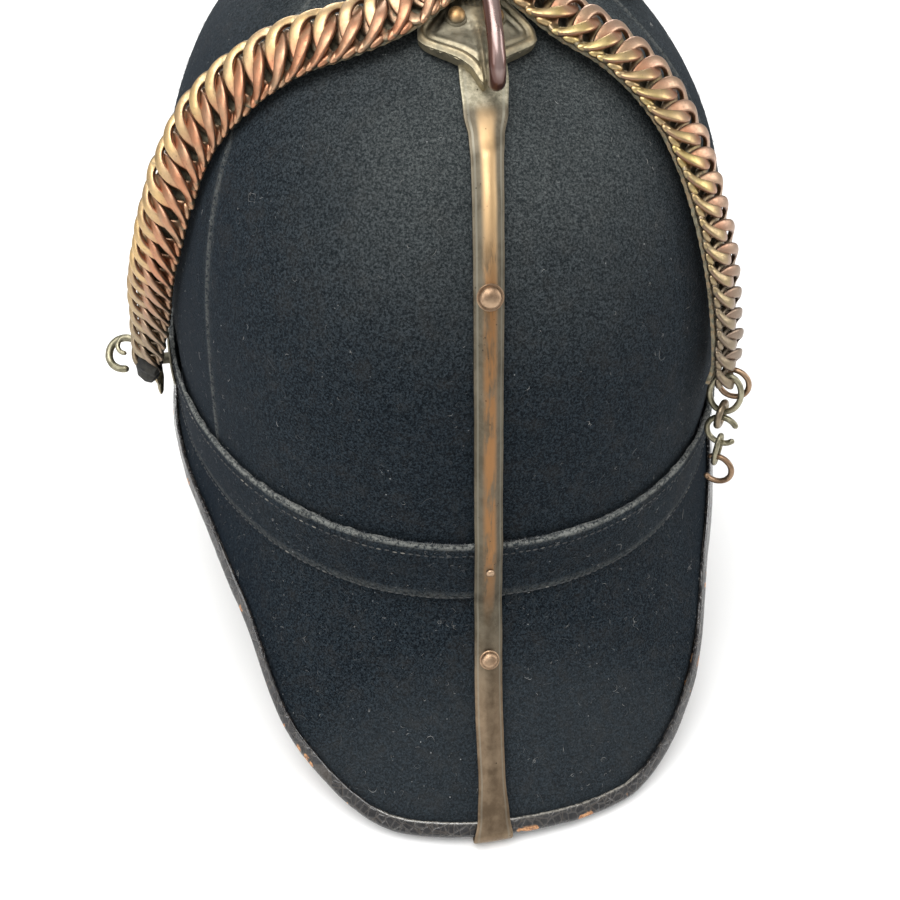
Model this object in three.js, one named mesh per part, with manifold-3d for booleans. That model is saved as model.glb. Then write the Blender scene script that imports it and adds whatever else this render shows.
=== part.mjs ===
// Officer's cloth helmet with a broad chin chain hooked up at the back.
// Millimetres, +Z up, the front of the helmet faces +Y and it stands on its two peaks at z = 0.
import * as THREE from 'three';
import { mergeVertices } from 'three/addons/utils/BufferGeometryUtils.js';
import Module from 'manifold-3d';

const wasm = await Module();
wasm.setup();
const { cos, sin, abs, hypot, PI, pow, max, min } = Math;
const RAD = PI / 180;
const V = (x, y, z) => new THREE.Vector3(x, y, z);

// ---------------------------------------------------------------- driving dimensions
const GAP = 0.32;              // clear space kept between neighbouring solids
const WALL = 3.0;              // cork and cloth of the crown
const PEAK_WALL = 2.6;         // cork and cloth of the peaks

const CROWN_HALF_WIDTH = 89;
const CROWN_REAR = 117.5;      // centre line to the rear
const CROWN_FRONT = 114;       // centre line to the front
const CROWN_RISE = 133;        // from the band's upper edge to the top
const PLAN_POWER = 2.26;       // fullness of the plan oval
const DOME_POWER = 3.0;        // fullness of the shoulder, upright
const DOME_ROOT = 2.2;         // fullness of the shoulder, across

const BAND_TOP = 81.85;        // the band's upper edge above the table, at the rear
const BAND_HEIGHT = 21;
const BAND_THICK = 1.7;
const REAR_LIFT = 1.5;         // how far the band laps up the crown at the rear and front
const SIDE_LIFT = 14;          // how much higher it runs at the sides
const TUCK = 15;               // how far the crown wall reaches down inside the band

const CROSS_X = 1;             // the spike stands behind the middle
const CROSS_Y = -25;

// turn from the middle of the peak, reach outward beyond the crown wall, height of the rim
const BACK_RIM = [
  { turn: 0, reach: 38.5, rim: 4.95 }, { turn: 15, reach: 36.5, rim: 3.55 },
  { turn: 30, reach: 25.6, rim: 16.15 },
  { turn: 45, reach: 10.4, rim: 44.45 }, { turn: 60, reach: 5.0, rim: 59.95 },
  { turn: 75, reach: 4.0, rim: 63.85 },
  { turn: 90, reach: 4.0, rim: 64.55 },
];
const FRONT_RIM = [
  { turn: 0, reach: 42.0, rim: 3.55 }, { turn: 13, reach: 39.5, rim: 3.55 },
  { turn: 28, reach: 27.0, rim: 16.85 },
  { turn: 43, reach: 11.6, rim: 44.45 }, { turn: 59, reach: 5.4, rim: 59.45 },
  { turn: 75, reach: 4.0, rim: 63.85 },
  { turn: 90, reach: 4.0, rim: 64.55 },
];
const SWEEP = 1.2;             // how late the peak flares outward

// ---------------------------------------------------------------- small helpers
const lerp = (a, b, f) => a + (b - a) * f;

// smooth value that never overshoots the rows of a table
function read(rows, key, column, at) {
  const n = rows.length;
  const slope = rows.slice(1).map((r, i) => (r[column] - rows[i][column]) / (r[key] - rows[i][key]));
  const tangent = rows.map((_, i) => {
    if (i === 0) return 0;
    if (i === n - 1) return slope[n - 2];
    return slope[i - 1] * slope[i] <= 0 ? 0 : 2 * slope[i - 1] * slope[i] / (slope[i - 1] + slope[i]);
  });
  let i = 0;
  while (i < n - 2 && at > rows[i + 1][key]) i += 1;
  const span = rows[i + 1][key] - rows[i][key];
  const f = min(max((at - rows[i][key]) / span, 0), 1);
  const f2 = f * f, f3 = f2 * f;
  return rows[i][column] * (2 * f3 - 3 * f2 + 1) + rows[i + 1][column] * (3 * f2 - 2 * f3)
    + span * (tangent[i] * (f3 - 2 * f2 + f) + tangent[i + 1] * (f3 - f2));
}

function bodyFrom(points, faces) {
  const geometry = new THREE.BufferGeometry();
  const flat = points.flatMap((p) => [p.x, p.y, p.z]);
  geometry.setAttribute('position', new THREE.Float32BufferAttribute(flat, 3));
  let volume = 0;
  for (const [a, b, c] of faces) volume += points[a].dot(points[b].clone().cross(points[c]));
  geometry.setIndex(volume < 0 ? faces.flatMap(([a, b, c]) => [a, c, b]) : faces.flat());
  geometry.computeVertexNormals();
  return geometry;
}

// closed body through rings of points; the ends are capped unless the rings run in a loop
function skin(rings, { loop = false, cap = null } = {}) {
  const n = rings[0].length, points = rings.flat(), faces = [];
  const steps = loop ? rings.length : rings.length - 1;
  for (let i = 0; i < steps; i += 1) {
    const a = i * n, b = ((i + 1) % rings.length) * n;
    for (let j = 0; j < n; j += 1) {
      const k = (j + 1) % n;
      faces.push([a + j, a + k, b + k], [a + j, b + k, b + j]);
    }
  }
  if (!loop) {
    const flat = cap ?? rings[0].map((_, j) => new THREE.Vector2(cos(2 * PI * j / n), sin(2 * PI * j / n)));
    const last = (rings.length - 1) * n;
    const turned = THREE.ShapeUtils.isClockWise(flat);
    for (const [a, b, c] of THREE.ShapeUtils.triangulateShape(flat, [])) {
      faces.push(turned ? [a, b, c] : [a, c, b]);
      faces.push(turned ? [last + a, last + c, last + b] : [last + a, last + b, last + c]);
    }
  }
  return bodyFrom(points, faces);
}

// a wall of even thickness under the surface at(i, j), rows i and columns j, with its normals
function wall(rows, columns, at, thick, { round = false, pole = null } = {}) {
  const points = [], faces = [];
  const width = columns;
  for (const inner of [0, 1]) {
    for (let i = 0; i < rows; i += 1) {
      for (let j = 0; j < width; j += 1) {
        const { p, n } = at(i, j);
        points.push(p.clone().addScaledVector(n, -thick * inner));
      }
    }
  }
  const size = rows * width;
  const across = round ? width : width - 1;
  const quad = (a, b, c, d) => faces.push([a, b, c], [a, c, d]);
  for (let i = 0; i < rows - 1; i += 1) {
    for (let j = 0; j < across; j += 1) {
      const k = (j + 1) % width;
      quad(i * width + j, i * width + k, (i + 1) * width + k, (i + 1) * width + j);
      quad(size + (i + 1) * width + j, size + (i + 1) * width + k, size + i * width + k,
        size + i * width + j);
    }
  }
  const lip = (i, flip) => {
    for (let j = 0; j < across; j += 1) {
      const k = (j + 1) % width;
      const q = [i * width + j, i * width + k, size + i * width + k, size + i * width + j];
      quad(...(flip ? q.reverse() : q));
    }
  };
  lip(0, true);
  if (pole) {
    const top = points.length;
    points.push(pole.clone(), pole.clone().setZ(pole.z - thick));
    const last = (rows - 1) * width;
    for (let j = 0; j < width; j += 1) {
      const k = (j + 1) % width;
      faces.push([last + j, last + k, top], [size + last + k, size + last + j, top + 1]);
    }
  } else {
    lip(rows - 1, false);
  }
  if (!round) {
    for (let i = 0; i < rows - 1; i += 1) {
      const a = i * width, b = (i + 1) * width, c = a + width - 1, d = b + width - 1;
      quad(a, b, size + b, size + a);
      quad(c, size + c, size + d, d);
    }
  }
  return bodyFrom(points, faces);
}

function ringAround(path, radius, sides) {
  const profile = Array.from({ length: sides }, (_, j) => 2 * PI * j / sides);
  return path.map(({ p, out, side }) => profile.map((a) => p.clone()
    .addScaledVector(out, radius * sin(a)).addScaledVector(side, radius * cos(a))));
}

function join(...bodies) {
  const solids = bodies.map((body) => {
    const plain = new THREE.BufferGeometry();
    plain.setAttribute('position', body.getAttribute('position').clone());
    if (body.index) plain.setIndex(body.index.clone());
    const merged = mergeVertices(plain, 1e-4);
    return new wasm.Manifold(new wasm.Mesh({
      numProp: 3, vertProperties: new Float32Array(merged.getAttribute('position').array),
      triVerts: new Uint32Array(merged.index.array),
    }));
  });
  const mesh = solids.reduce((a, b) => a.add(b)).getMesh();
  const geometry = new THREE.BufferGeometry();
  geometry.setAttribute('position', new THREE.BufferAttribute(new Float32Array(mesh.vertProperties), 3));
  geometry.setIndex(new THREE.BufferAttribute(new Uint32Array(mesh.triVerts), 1));
  geometry.computeVertexNormals();
  return geometry;
}

function place(geometry, origin, zAxis, xHint = V(1, 0, 0)) {
  const z = zAxis.clone().normalize();
  const y = z.clone().cross(xHint).normalize();
  const x = y.clone().cross(z);
  return geometry.applyMatrix4(new THREE.Matrix4().makeBasis(x, y, z).setPosition(origin));
}

// ---------------------------------------------------------------- the crown's surface
// turn: degrees from the rear, positive towards the helmet's right; level: 0 at the band to 1 at the top
function planRadius(turn) {
  const s = sin(turn * RAD), c = cos(turn * RAD);
  const r = pow(pow(abs(s), PLAN_POWER) + pow(abs(c), PLAN_POWER), -1 / PLAN_POWER);
  return V(CROWN_HALF_WIDTH * r * s, -(c > 0 ? CROWN_REAR : CROWN_FRONT) * r * c, 0);
}
const lift = (turn) => lerp(REAR_LIFT, SIDE_LIFT, pow(sin(turn * RAD), 2));
function crownPoint(turn, level) {
  const k = level <= 0 ? 1 : pow(max(1 - pow(level, DOME_POWER), 0), 1 / DOME_ROOT);
  return planRadius(turn).multiplyScalar(k).setZ(BAND_TOP + level * CROWN_RISE);
}
function surfaceAt(f, u, v, du, dv) {
  const p = f(u, v);
  const a = f(u + du, v).sub(f(u - du, v)), b = f(u, v + dv).sub(f(u, v - dv));
  return { p, n: a.cross(b).normalize() };
}
function onCrown(turn, level, off) {
  const { p, n } = surfaceAt(crownPoint, turn, min(level, 0.9995), 0.05, 1e-4);
  return { p: p.addScaledVector(n, off), n };
}
// the same surface over a plan position
function overCrown(x, y, off) {
  const depth = y < 0 ? CROWN_REAR : CROWN_FRONT;
  const height = (a, b) => {
    const r = pow(pow(abs(a) / CROWN_HALF_WIDTH, PLAN_POWER) + pow(abs(b) / depth, PLAN_POWER),
      1 / PLAN_POWER);
    return BAND_TOP + CROWN_RISE * pow(1 - pow(min(r, 1), DOME_ROOT), 1 / DOME_POWER);
  };
  const e = 0.02;
  const n = V(-(height(x + e, y) - height(x - e, y)) / (2 * e),
    -(height(x, y + e) - height(x, y - e)) / (2 * e), 1);
  n.normalize();
  return { p: V(x, y, height(x, y)).addScaledVector(n, off), n };
}
function outwardAt(turn) {
  const a = planRadius(turn + 0.05).sub(planRadius(turn - 0.05));
  return V(a.y, -a.x, 0).normalize();
}

// ---------------------------------------------------------------- crown, band and peaks
const CROWN_COLUMNS = 56;
const CROWN_ROWS = 12;
function crownShell() {
  const at = (i, j) => {
    const turn = 360 * j / CROWN_COLUMNS;
    if (i === 0) {
      const out = outwardAt(turn);
      return { p: planRadius(turn).setZ(BAND_TOP + lift(turn) - TUCK), n: out };
    }
    // at the sides, where the band is lifted most, this row stays above the first one
    if (i === 1) return { p: crownPoint(turn, 0).setZ(BAND_TOP + max(0, lift(turn) - TUCK + 4)),
      n: outwardAt(turn) };
    const level = pow(sin(0.5 * PI * (i - 1) / (CROWN_ROWS - 1)), 2 / DOME_POWER);
    return onCrown(turn, level, 0);
  };
  return wall(CROWN_ROWS, CROWN_COLUMNS, at, WALL, { round: true, pole: V(0, 0, BAND_TOP + CROWN_RISE) });
}

const BAND_COLUMNS = 72;
function bandRing() {
  const rings = Array.from({ length: BAND_COLUMNS }, (_, j) => {
    const turn = 360 * j / BAND_COLUMNS, out = outwardAt(turn), base = planRadius(turn);
    const top = BAND_TOP + lift(turn), low = top - BAND_HEIGHT;
    return [
      { off: GAP + 0.12, z: low }, { off: GAP + 0.12, z: top - 0.5 }, { off: 0.9, z: top },
      { off: GAP + BAND_THICK + 0.3, z: top - 0.6 },
      { off: GAP + BAND_THICK, z: top - 2.2 }, { off: GAP + BAND_THICK, z: low + 1 },
      { off: GAP + BAND_THICK - 0.5, z: low },
    ].map(({ off, z }) => base.clone().addScaledVector(out, off).setZ(z));
  });
  return skin(rings, { loop: true });
}

// drop runs 0 where the peak leaves the band to 1 at its rim
function peakPoint(rows, middle) {
  return (turn, drop) => {
    const whole = middle + turn, out = outwardAt(whole), base = planRadius(whole);
    const root = BAND_TOP + lift(whole) - BAND_HEIGHT;
    if (drop < 0) return base.setZ(root - drop * (BAND_HEIGHT - TUCK - GAP));
    const reach = read(rows, 'turn', 'reach', abs(turn)), rim = read(rows, 'turn', 'rim', abs(turn));
    return base.addScaledVector(out, reach * pow(drop, SWEEP)).setZ(lerp(root, rim, drop));
  };
}
const PEAK_TURNS = 36;
const PEAK_DROPS = [-1, 0, 0.15, 0.32, 0.5, 0.68, 0.85, 1];
const SIDE_SEAM = 89.9;        // the two peaks meet here with a hair's gap
const rimTurns = (half) => Array.from({ length: PEAK_TURNS + 1 },
  (_, j) => lerp(-half, half, j / PEAK_TURNS));
function peakAt(rows, middle, turn, drop) {
  const f = peakPoint(rows, middle);
  const step = 0.02;
  const low = drop <= 0 ? drop : drop - step, high = drop <= -1 ? drop + 0.5 : min(drop + step, 1.02);
  const p = f(turn, drop);
  const a = f(turn + 0.05, drop).sub(f(turn - 0.05, drop)), b = f(turn, high).sub(f(turn, low));
  const n = b.clone().cross(a).normalize();
  return { p, n: drop <= 0 ? outwardAt(middle + turn) : n, down: b.normalize() };
}
function peakShell(rows, middle) {
  const turns = rimTurns(SIDE_SEAM);
  return wall(PEAK_DROPS.length, turns.length, (i, j) => peakAt(rows, middle, turns[j], PEAK_DROPS[i]),
    PEAK_WALL);
}
// a folded strip round the rim: flange on top, turn at the edge, flange underneath
function binding(rows, middle, flange, thick) {
  const turns = rimTurns(SIDE_SEAM), edge = GAP + 0.15, clear = GAP + 0.15;
  const profile = [
    { along: -flange, up: clear }, { along: edge, up: clear }, { along: edge, up: -PEAK_WALL - clear },
    { along: -flange, up: -PEAK_WALL - clear }, { along: -flange, up: -PEAK_WALL - clear - thick },
    { along: edge + thick * 0.6, up: -PEAK_WALL - clear - thick },
    { along: edge + thick, up: -PEAK_WALL / 2 },
    { along: edge + thick * 0.6, up: clear + thick }, { along: -flange, up: clear + thick },
  ];
  const rings = turns.map((turn) => {
    const { p, n, down } = peakAt(rows, middle, turn, 1);
    return profile.map(({ along, up }) => p.clone().addScaledVector(down, along).addScaledVector(n, up));
  });
  return skin(rings, { cap: profile.map(({ along, up }) => new THREE.Vector2(along, up)) });
}

// ---------------------------------------------------------------- the back bar
const BAR_LIFT = 0.62;
const BINDING_THICK = 0.9;
// a station is a level on the crown, a depth on the band or a drop on the peak; off is its height there
function barSpot({ level, onBand, drop, off = 0, beyond = 0, x }) {
  if (level !== undefined) {
    const turn = Math.atan2(x, CROWN_REAR) / RAD;
    const { p, n } = onCrown(turn, level, BAR_LIFT + off);
    return { p: V(x, p.y, p.z), n: V(0, n.y, n.z).normalize() };
  }
  if (onBand !== undefined) {
    return { p: V(x, -CROWN_REAR - GAP - BAND_THICK - BAR_LIFT - off, BAND_TOP - onBand), n: V(0, -1, 0) };
  }
  const { p, n, down } = peakAt(BACK_RIM, 0, 0, drop);
  const q = p.addScaledVector(n, off).addScaledVector(down, beyond);
  return { p: V(x, q.y, q.z), n: V(0, n.y, n.z).normalize() };
}
// from the tab under the rear arm down to the foot that hooks under the rim; the bar has been knocked a
// little askew
const BAR_RUN = [
  { level: 0.866, off: -0.28, x: -1.4, wide: 11.5, high: 0.6 },
  { level: 0.838, x: -1.8, wide: 11.5, high: 0.9 },
  { level: 0.795, x: -2.6, wide: 10.5, high: 0.9 },
  { level: 0.765, x: -3.1, wide: 8.4, high: 1.5 }, { level: 0.735, x: -3.6, wide: 7.7, high: 2.3 },
  { level: 0.68, x: -4.3, wide: 7.5, high: 2.6 }, { level: 0.58, x: -5.2, wide: 7.4, high: 2.6 },
  { level: 0.46, x: -5.75, wide: 7.3, high: 2.6 }, { level: 0.32, x: -5.8, wide: 7.3, high: 2.6 },
  { level: 0.18, x: -5.4, wide: 7.5, high: 2.5 }, { level: 0.08, off: 0.7, x: -5.1, wide: 7.6, high: 2.5 },
  { onBand: -2.5, off: 0.2, x: -5.0, wide: 7.7, high: 2.5 },
  { onBand: 3, off: 0.1, x: -4.85, wide: 7.7, high: 2.5 },
  { onBand: 14, x: -4.5, wide: 7.8, high: 2.4 }, { onBand: 20, x: -4.35, wide: 7.9, high: 2.4 },
  { drop: 0.10, off: 2.2, x: -4.4, wide: 7.9, high: 2.4 },
  { drop: 0.25, off: 1.6, x: -5.0, wide: 8.0, high: 2.4 },
  { drop: 0.5, off: 1.6, x: -6.2, wide: 8.0, high: 2.4 },
  { drop: 0.78, off: 1.75, x: -7.2, wide: 7.8, high: 2.3 },
  { drop: 0.93, off: 1.75, x: -7.8, wide: 9.2, high: 1.7 },
  { drop: 1.0, off: 2.05, beyond: 1.0, x: -8.4, wide: 11.2, high: 1.2 },
];
const FOOT_X = -8.4;
const FOOT_TURN = -3.9;
const BAR_SECTION = [
  { x: -0.5, y: 0 }, { x: 0.5, y: 0 }, { x: 0.5, y: 0.26 }, { x: 0.37, y: 0.34 }, { x: 0.25, y: 0.8 },
  { x: 0, y: 1 },
  { x: -0.25, y: 0.8 }, { x: -0.37, y: 0.34 }, { x: -0.5, y: 0.26 },
];
function backBar() {
  const side = V(1, 0, 0);
  const rings = BAR_RUN.map((run) => {
    const { p, n } = barSpot(run);
    return BAR_SECTION.map(({ x, y }) =>
      p.clone().addScaledVector(side, x * run.wide).addScaledVector(n, y * run.high));
  });
  // the foot turns round the bound edge and ends under it
  const { p, n, down } = peakAt(BACK_RIM, 0, FOOT_TURN, 1);
  const edge = GAP + BINDING_THICK + 0.85;
  const under = -PEAK_WALL - GAP - BINDING_THICK;
  for (const { along, up, wide, thick } of [
    { along: edge + 0.1, up: 0.2, wide: 11.1, thick: 1.1 },
    { along: edge, up: -PEAK_WALL - 1.1, wide: 10.4, thick: 1.0 },
    { along: edge - 0.8, up: under - 1.02, wide: 8.0, thick: 0.8 },
    { along: -2.2, up: under - 1.2, wide: 6.8, thick: 0.65 },
  ]) {
    const foot = p.clone().addScaledVector(down, along).addScaledVector(n, up).setX(FOOT_X);
    const turned = along > edge - 0.1 ? down.clone() : n.clone().negate();
    if (along === edge - 0.8) turned.add(down).normalize();
    const face = V(0, turned.y, turned.z).normalize();
    rings.push(BAR_SECTION.map(({ x, y }) =>
      foot.clone().addScaledVector(side, x * wide).addScaledVector(face, y * thick)));
  }
  return skin(rings, { cap: BAR_SECTION.map(({ x, y }) => new THREE.Vector2(x, y)) });
}
function roundStud(radius, dome, run, clear) {
  const { p, n } = barSpot(run);
  const profile = [[0, 0], [radius * 0.92, 0], [radius, dome * 0.2], [radius * 0.86, dome * 0.62],
    [radius * 0.5, dome * 0.92], [0, dome]]
    .map(([x, y]) => new THREE.Vector2(x, y));
  const head = new THREE.LatheGeometry(profile, 14).rotateX(PI / 2);
  return place(head, p.addScaledVector(n, clear), n);
}

// ---------------------------------------------------------------- the four-armed base, spike and hook
// distance from the spike's axis along the arm, half width and thickness there
const ARM_ROWS = [
  { along: 8, half: 9.0, thick: 2.4, rise: 0 }, { along: 15, half: 7.8, thick: 2.4, rise: 0 },
  { along: 24, half: 6.8, thick: 2.4, rise: 0 }, { along: 32, half: 7.4, thick: 2.4, rise: 0 },
  { along: 38.5, half: 10.8, thick: 2.6, rise: 0 }, { along: 43.2, half: 13.8, thick: 2.6, rise: 0.1 },
  { along: 46.8, half: 12.6, thick: 2.6, rise: 0.9 }, { along: 50, half: 7.2, thick: 2.2, rise: 1.6 },
  { along: 52, half: 2.2, thick: 1.9, rise: 1.75 }, { along: 54.5, half: 1.0, thick: 1.7, rise: 1.8 },
  { along: 56.6, half: 0.7, thick: 1.5, rise: 1.85 },
];
// the base stands a little turned, and its arms to the sides are shorter by their reach
const ARM_TURN = -3.5;
const ARMS = [{ heading: -90, reach: 1 }, { heading: 0, reach: 0.9 }, { heading: 90, reach: 1 },
  { heading: 180, reach: 0.9 }];
const ARM_BEADS = [{ along: 34.5, side: 0, radius: 2.2 }, { along: 40, side: -4.4, radius: 2.3 },
  { along: 40, side: 4.4, radius: 2.3 }];
const DOME_LIFT = 1.1;         // clears the crown, which still rises in front of the dome
const BASE_DOME = [
  { radius: 0, z: -6 }, { radius: 15, z: -6 }, { radius: 16.5, z: 1.5 }, { radius: 15.6, z: 4 },
  { radius: 13.4, z: 6.2 },
  { radius: 12.6, z: 9 }, { radius: 12, z: 13 }, { radius: 13.2, z: 14.5 }, { radius: 13.2, z: 16.5 },
  { radius: 0, z: 16.5 },
];
function armSpot(heading, along, side, off) {
  const x = cos((heading + ARM_TURN) * RAD), y = sin((heading + ARM_TURN) * RAD);
  return overCrown(CROSS_X + along * x - side * y, CROSS_Y + along * y + side * x, off);
}
function armPlate({ heading, reach }) {
  const across = [-1, -0.55, 0, 0.55, 1];
  const rings = ARM_ROWS.map(({ along, half, thick, rise }) => [
    ...across.map((f) => armSpot(heading, along * reach, f * half, GAP + 0.34 + rise).p),
    ...across.toReversed().map((f) => armSpot(heading, along * reach, f * half * 0.93,
      GAP + rise + thick * (1 - 0.2 * f * f)).p),
  ]);
  const flat = [...across.map((f) => new THREE.Vector2(f, 0)),
    ...across.toReversed().map((f) => new THREE.Vector2(f, 1 - 0.2 * f * f))];
  return skin(rings, { cap: flat });
}
function crossBase() {
  const seat = overCrown(CROSS_X, CROSS_Y, 0).p;
  // the dome's flat underside is cut to the crown by lifting it clear of the top
  const dome = new THREE.LatheGeometry(
    BASE_DOME.map(({ radius, z }) => new THREE.Vector2(radius, max(z, GAP + 0.2))), 32).rotateX(PI / 2);
  dome.translate(CROSS_X, CROSS_Y, seat.z + DOME_LIFT);
  const beads = ARMS.flatMap(({ heading, reach }) => ARM_BEADS.map(({ along, side, radius }) => {
    const { p, n } = armSpot(heading, along * reach, side, GAP + 2.3);
    return place(new THREE.SphereGeometry(radius, 10, 6).rotateX(PI / 2), p, n);
  }));
  return join(...ARMS.map(armPlate), dome, ...beads);
}
const SPIKE = [
  { radius: 0, z: 0 }, { radius: 12.4, z: 0 }, { radius: 13, z: 1.2 }, { radius: 12.2, z: 3.2 },
  { radius: 9.4, z: 5 },
  { radius: 9.8, z: 6.6 }, { radius: 8.6, z: 8.2 }, { radius: 6.6, z: 10 }, { radius: 5.4, z: 20 },
  { radius: 3.4, z: 40 },
  { radius: 1.6, z: 58 }, { radius: 0, z: 62 },
];
function spikeBody() {
  const seat = overCrown(CROSS_X, CROSS_Y, 0).p;
  const body = new THREE.LatheGeometry(SPIKE.map(({ radius, z }) => new THREE.Vector2(radius, z)),
    20).rotateX(PI / 2);
  return body.translate(CROSS_X, CROSS_Y, seat.z + DOME_LIFT + 16.5 + GAP);
}

// station along the back, height above the crown there and sideways place of the hook's rod
const HOOK_RUN = [
  { y: -82.0, rise: 4.5, x: -0.3 }, { y: -82.4, rise: 6.7, x: -0.35 }, { y: -81.4, rise: 9.9, x: -0.6 },
  { y: -77.8, rise: 12.3, x: -0.65 }, { y: -69, rise: 13.7, x: -0.4 }, { y: -59, rise: 14.3, x: -0.2 },
  { y: -51, rise: 15.1, x: 0.1 }, { y: -45, rise: 15.8, x: 0.4 }, { y: -35.1, rise: 16.8, x: 0.8 },
];
const HOOK_RADIUS = 1.85;
function chainHook() {
  const stations = HOOK_RUN.map(({ x, y, rise }) => overCrown(x, y, rise).p);
  const curve = new THREE.CatmullRomCurve3(stations, false, 'centripetal');
  const steps = 26;
  const path = Array.from({ length: steps + 1 }, (_, i) => {
    const f = i / steps, p = curve.getPointAt(f), tangent = curve.getTangentAt(f);
    const out = tangent.clone().cross(V(1, 0, 0)).normalize();
    return { p, out, side: tangent.clone().cross(out).normalize() };
  });
  return skin(ringAround(path, HOOK_RADIUS, 10));
}

// ---------------------------------------------------------------- chin chain and its lining
// turn and level on the crown, off: height of the chain's middle above the crown, roll: how far its face
// turns to the rear
const CHAIN_ROUTE = [
  { turn: -76, level: 0.10, off: 9.0, roll: 38 }, { turn: -73, level: 0.24, off: 7.5, roll: 38 },
  { turn: -68, level: 0.38, off: 6.8, roll: 37 }, { turn: -63.5, level: 0.51, off: 6.5, roll: 34 },
  { turn: -61, level: 0.61, off: 6.3, roll: 31 }, { turn: -58, level: 0.70, off: 6.1, roll: 27 },
  { turn: -51, level: 0.785, off: 5.8, roll: 20 }, { turn: -43, level: 0.84, off: 5.3, roll: 12 },
  { turn: -33, level: 0.872, off: 5.1, roll: 6 }, { turn: -22, level: 0.898, off: 6.0, roll: 0 },
  { turn: -11, level: 0.925, off: 8.1, roll: 0 }, { turn: 3, level: 0.944, off: 9.5, roll: 0 },
  { turn: 14, level: 0.915, off: 7.65, roll: 0 }, { turn: 22, level: 0.885, off: 5.4, roll: 0 },
  { turn: 29.5, level: 0.85, off: 5, roll: 0 }, { turn: 34.5, level: 0.80, off: 5, roll: 0 },
  { turn: 37.5, level: 0.74, off: 5, roll: 0 }, { turn: 39, level: 0.67, off: 5, roll: 0 },
  { turn: 40, level: 0.58, off: 5.2, roll: 0 }, { turn: 41, level: 0.47, off: 5.8, roll: 0 },
  { turn: 42, level: 0.35, off: 6.6, roll: 0 }, { turn: 42.5, level: 0.25, off: 7.4, roll: 0 },
  { turn: 42.7, level: 0.17, off: 8.0, roll: 0 },
];
const chainCurve = new THREE.CatmullRomCurve3(CHAIN_ROUTE.map((r) => onCrown(r.turn, r.level, r.off).p),
  false, 'centripetal');
chainCurve.arcLengthDivisions = 1200;
const chainNormals = CHAIN_ROUTE.map((r) => onCrown(r.turn, r.level, 0).n);
const CHAIN_LENGTH = chainCurve.getLength();
function chainFrame(run) {
  const f = min(max(run / CHAIN_LENGTH, 0), 1);
  const t = chainCurve.getUtoTmapping(f) * (CHAIN_ROUTE.length - 1);
  const i = min(Math.floor(t), CHAIN_ROUTE.length - 2);
  const p = chainCurve.getPointAt(f), along = chainCurve.getTangentAt(f);
  const roll = lerp(CHAIN_ROUTE[i].roll, CHAIN_ROUTE[i + 1].roll, t - i) * RAD;
  const n = chainNormals[i].clone().lerp(chainNormals[i + 1], t - i);
  const side = n.cross(along).normalize().applyAxisAngle(along, roll);
  return { p: p.addScaledVector(along, run - f * CHAIN_LENGTH), along, side,
    up: along.clone().cross(side).normalize() };
}
const LINK = { count: 51, start: -1.6, pitch: 6.3, half_long: 4.6, half_wide: 6.6, twist: 0.78, wire: 0.95,
  steps: 8 };
const CHAIN_THICK = 2 * (LINK.twist + LINK.wire);
function linkBody(run) {
  const { p, along, side, up } = chainFrame(run);
  const spot = (a) => p.clone().addScaledVector(along, LINK.half_long * cos(a))
    .addScaledVector(side, LINK.half_wide * sin(a)).addScaledVector(up, -LINK.twist * sin(2 * a));
  const rings = Array.from({ length: LINK.steps }, (_, i) => {
    const a = 2 * PI * i / LINK.steps;
    const tangent = spot(a + 0.01).sub(spot(a - 0.01)).normalize();
    const out = up.clone().addScaledVector(tangent, -up.dot(tangent)).normalize();
    const across = tangent.clone().cross(out).normalize();
    return [[-1, -1], [1, -1], [0, 1]].map(([u, v]) => spot(a)
      .addScaledVector(across, u * LINK.wire).addScaledVector(out, v * LINK.wire * 0.9));
  });
  return skin(rings, { loop: true });
}
const FIRST_WIRE = LINK.start - LINK.half_long;
const LAST_WIRE = LINK.start + (LINK.count - 1) * LINK.pitch + LINK.half_long;
function chinChain() {
  return join(...Array.from({ length: LINK.count }, (_, i) => linkBody(LINK.start + i * LINK.pitch)));
}

// the strip drops clear of the links at both ends, where rings pass under them
const LINING = { wide: 11, thick: 1.3, step: 5.6, tab: 3, tip_width: 0.3, taper: 17, short: 2, sag: 1.7,
  sag_over: 9 };
function chainLining() {
  const under = CHAIN_THICK / 2 + GAP + 0.4 + LINING.thick;
  const start = FIRST_WIRE - LINING.tab, end = LAST_WIRE - LINING.short;
  const count = Math.round((end - start) / LINING.step);
  const square = [[-1, 0], [1, 0], [1, 1], [-1, 1]];
  const rings = Array.from({ length: count + 1 }, (_, i) => {
    const run = lerp(start, end, i / count);
    const { p, side, up } = chainFrame(run);
    const half = LINING.wide / 2 * min(LINING.tip_width + (run - start) / LINING.taper, 1);
    const near = min(max(1 - min(run - FIRST_WIRE, LAST_WIRE - run) / LINING.sag_over, 0), 1);
    const drop = under + LINING.sag * near * near * (3 - 2 * near);
    return square.map(([u, v]) =>
      p.clone().addScaledVector(side, u * half).addScaledVector(up, v * LINING.thick - drop));
  });
  return skin(rings, { cap: square.map(([x, y]) => new THREE.Vector2(x, y)) });
}

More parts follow.
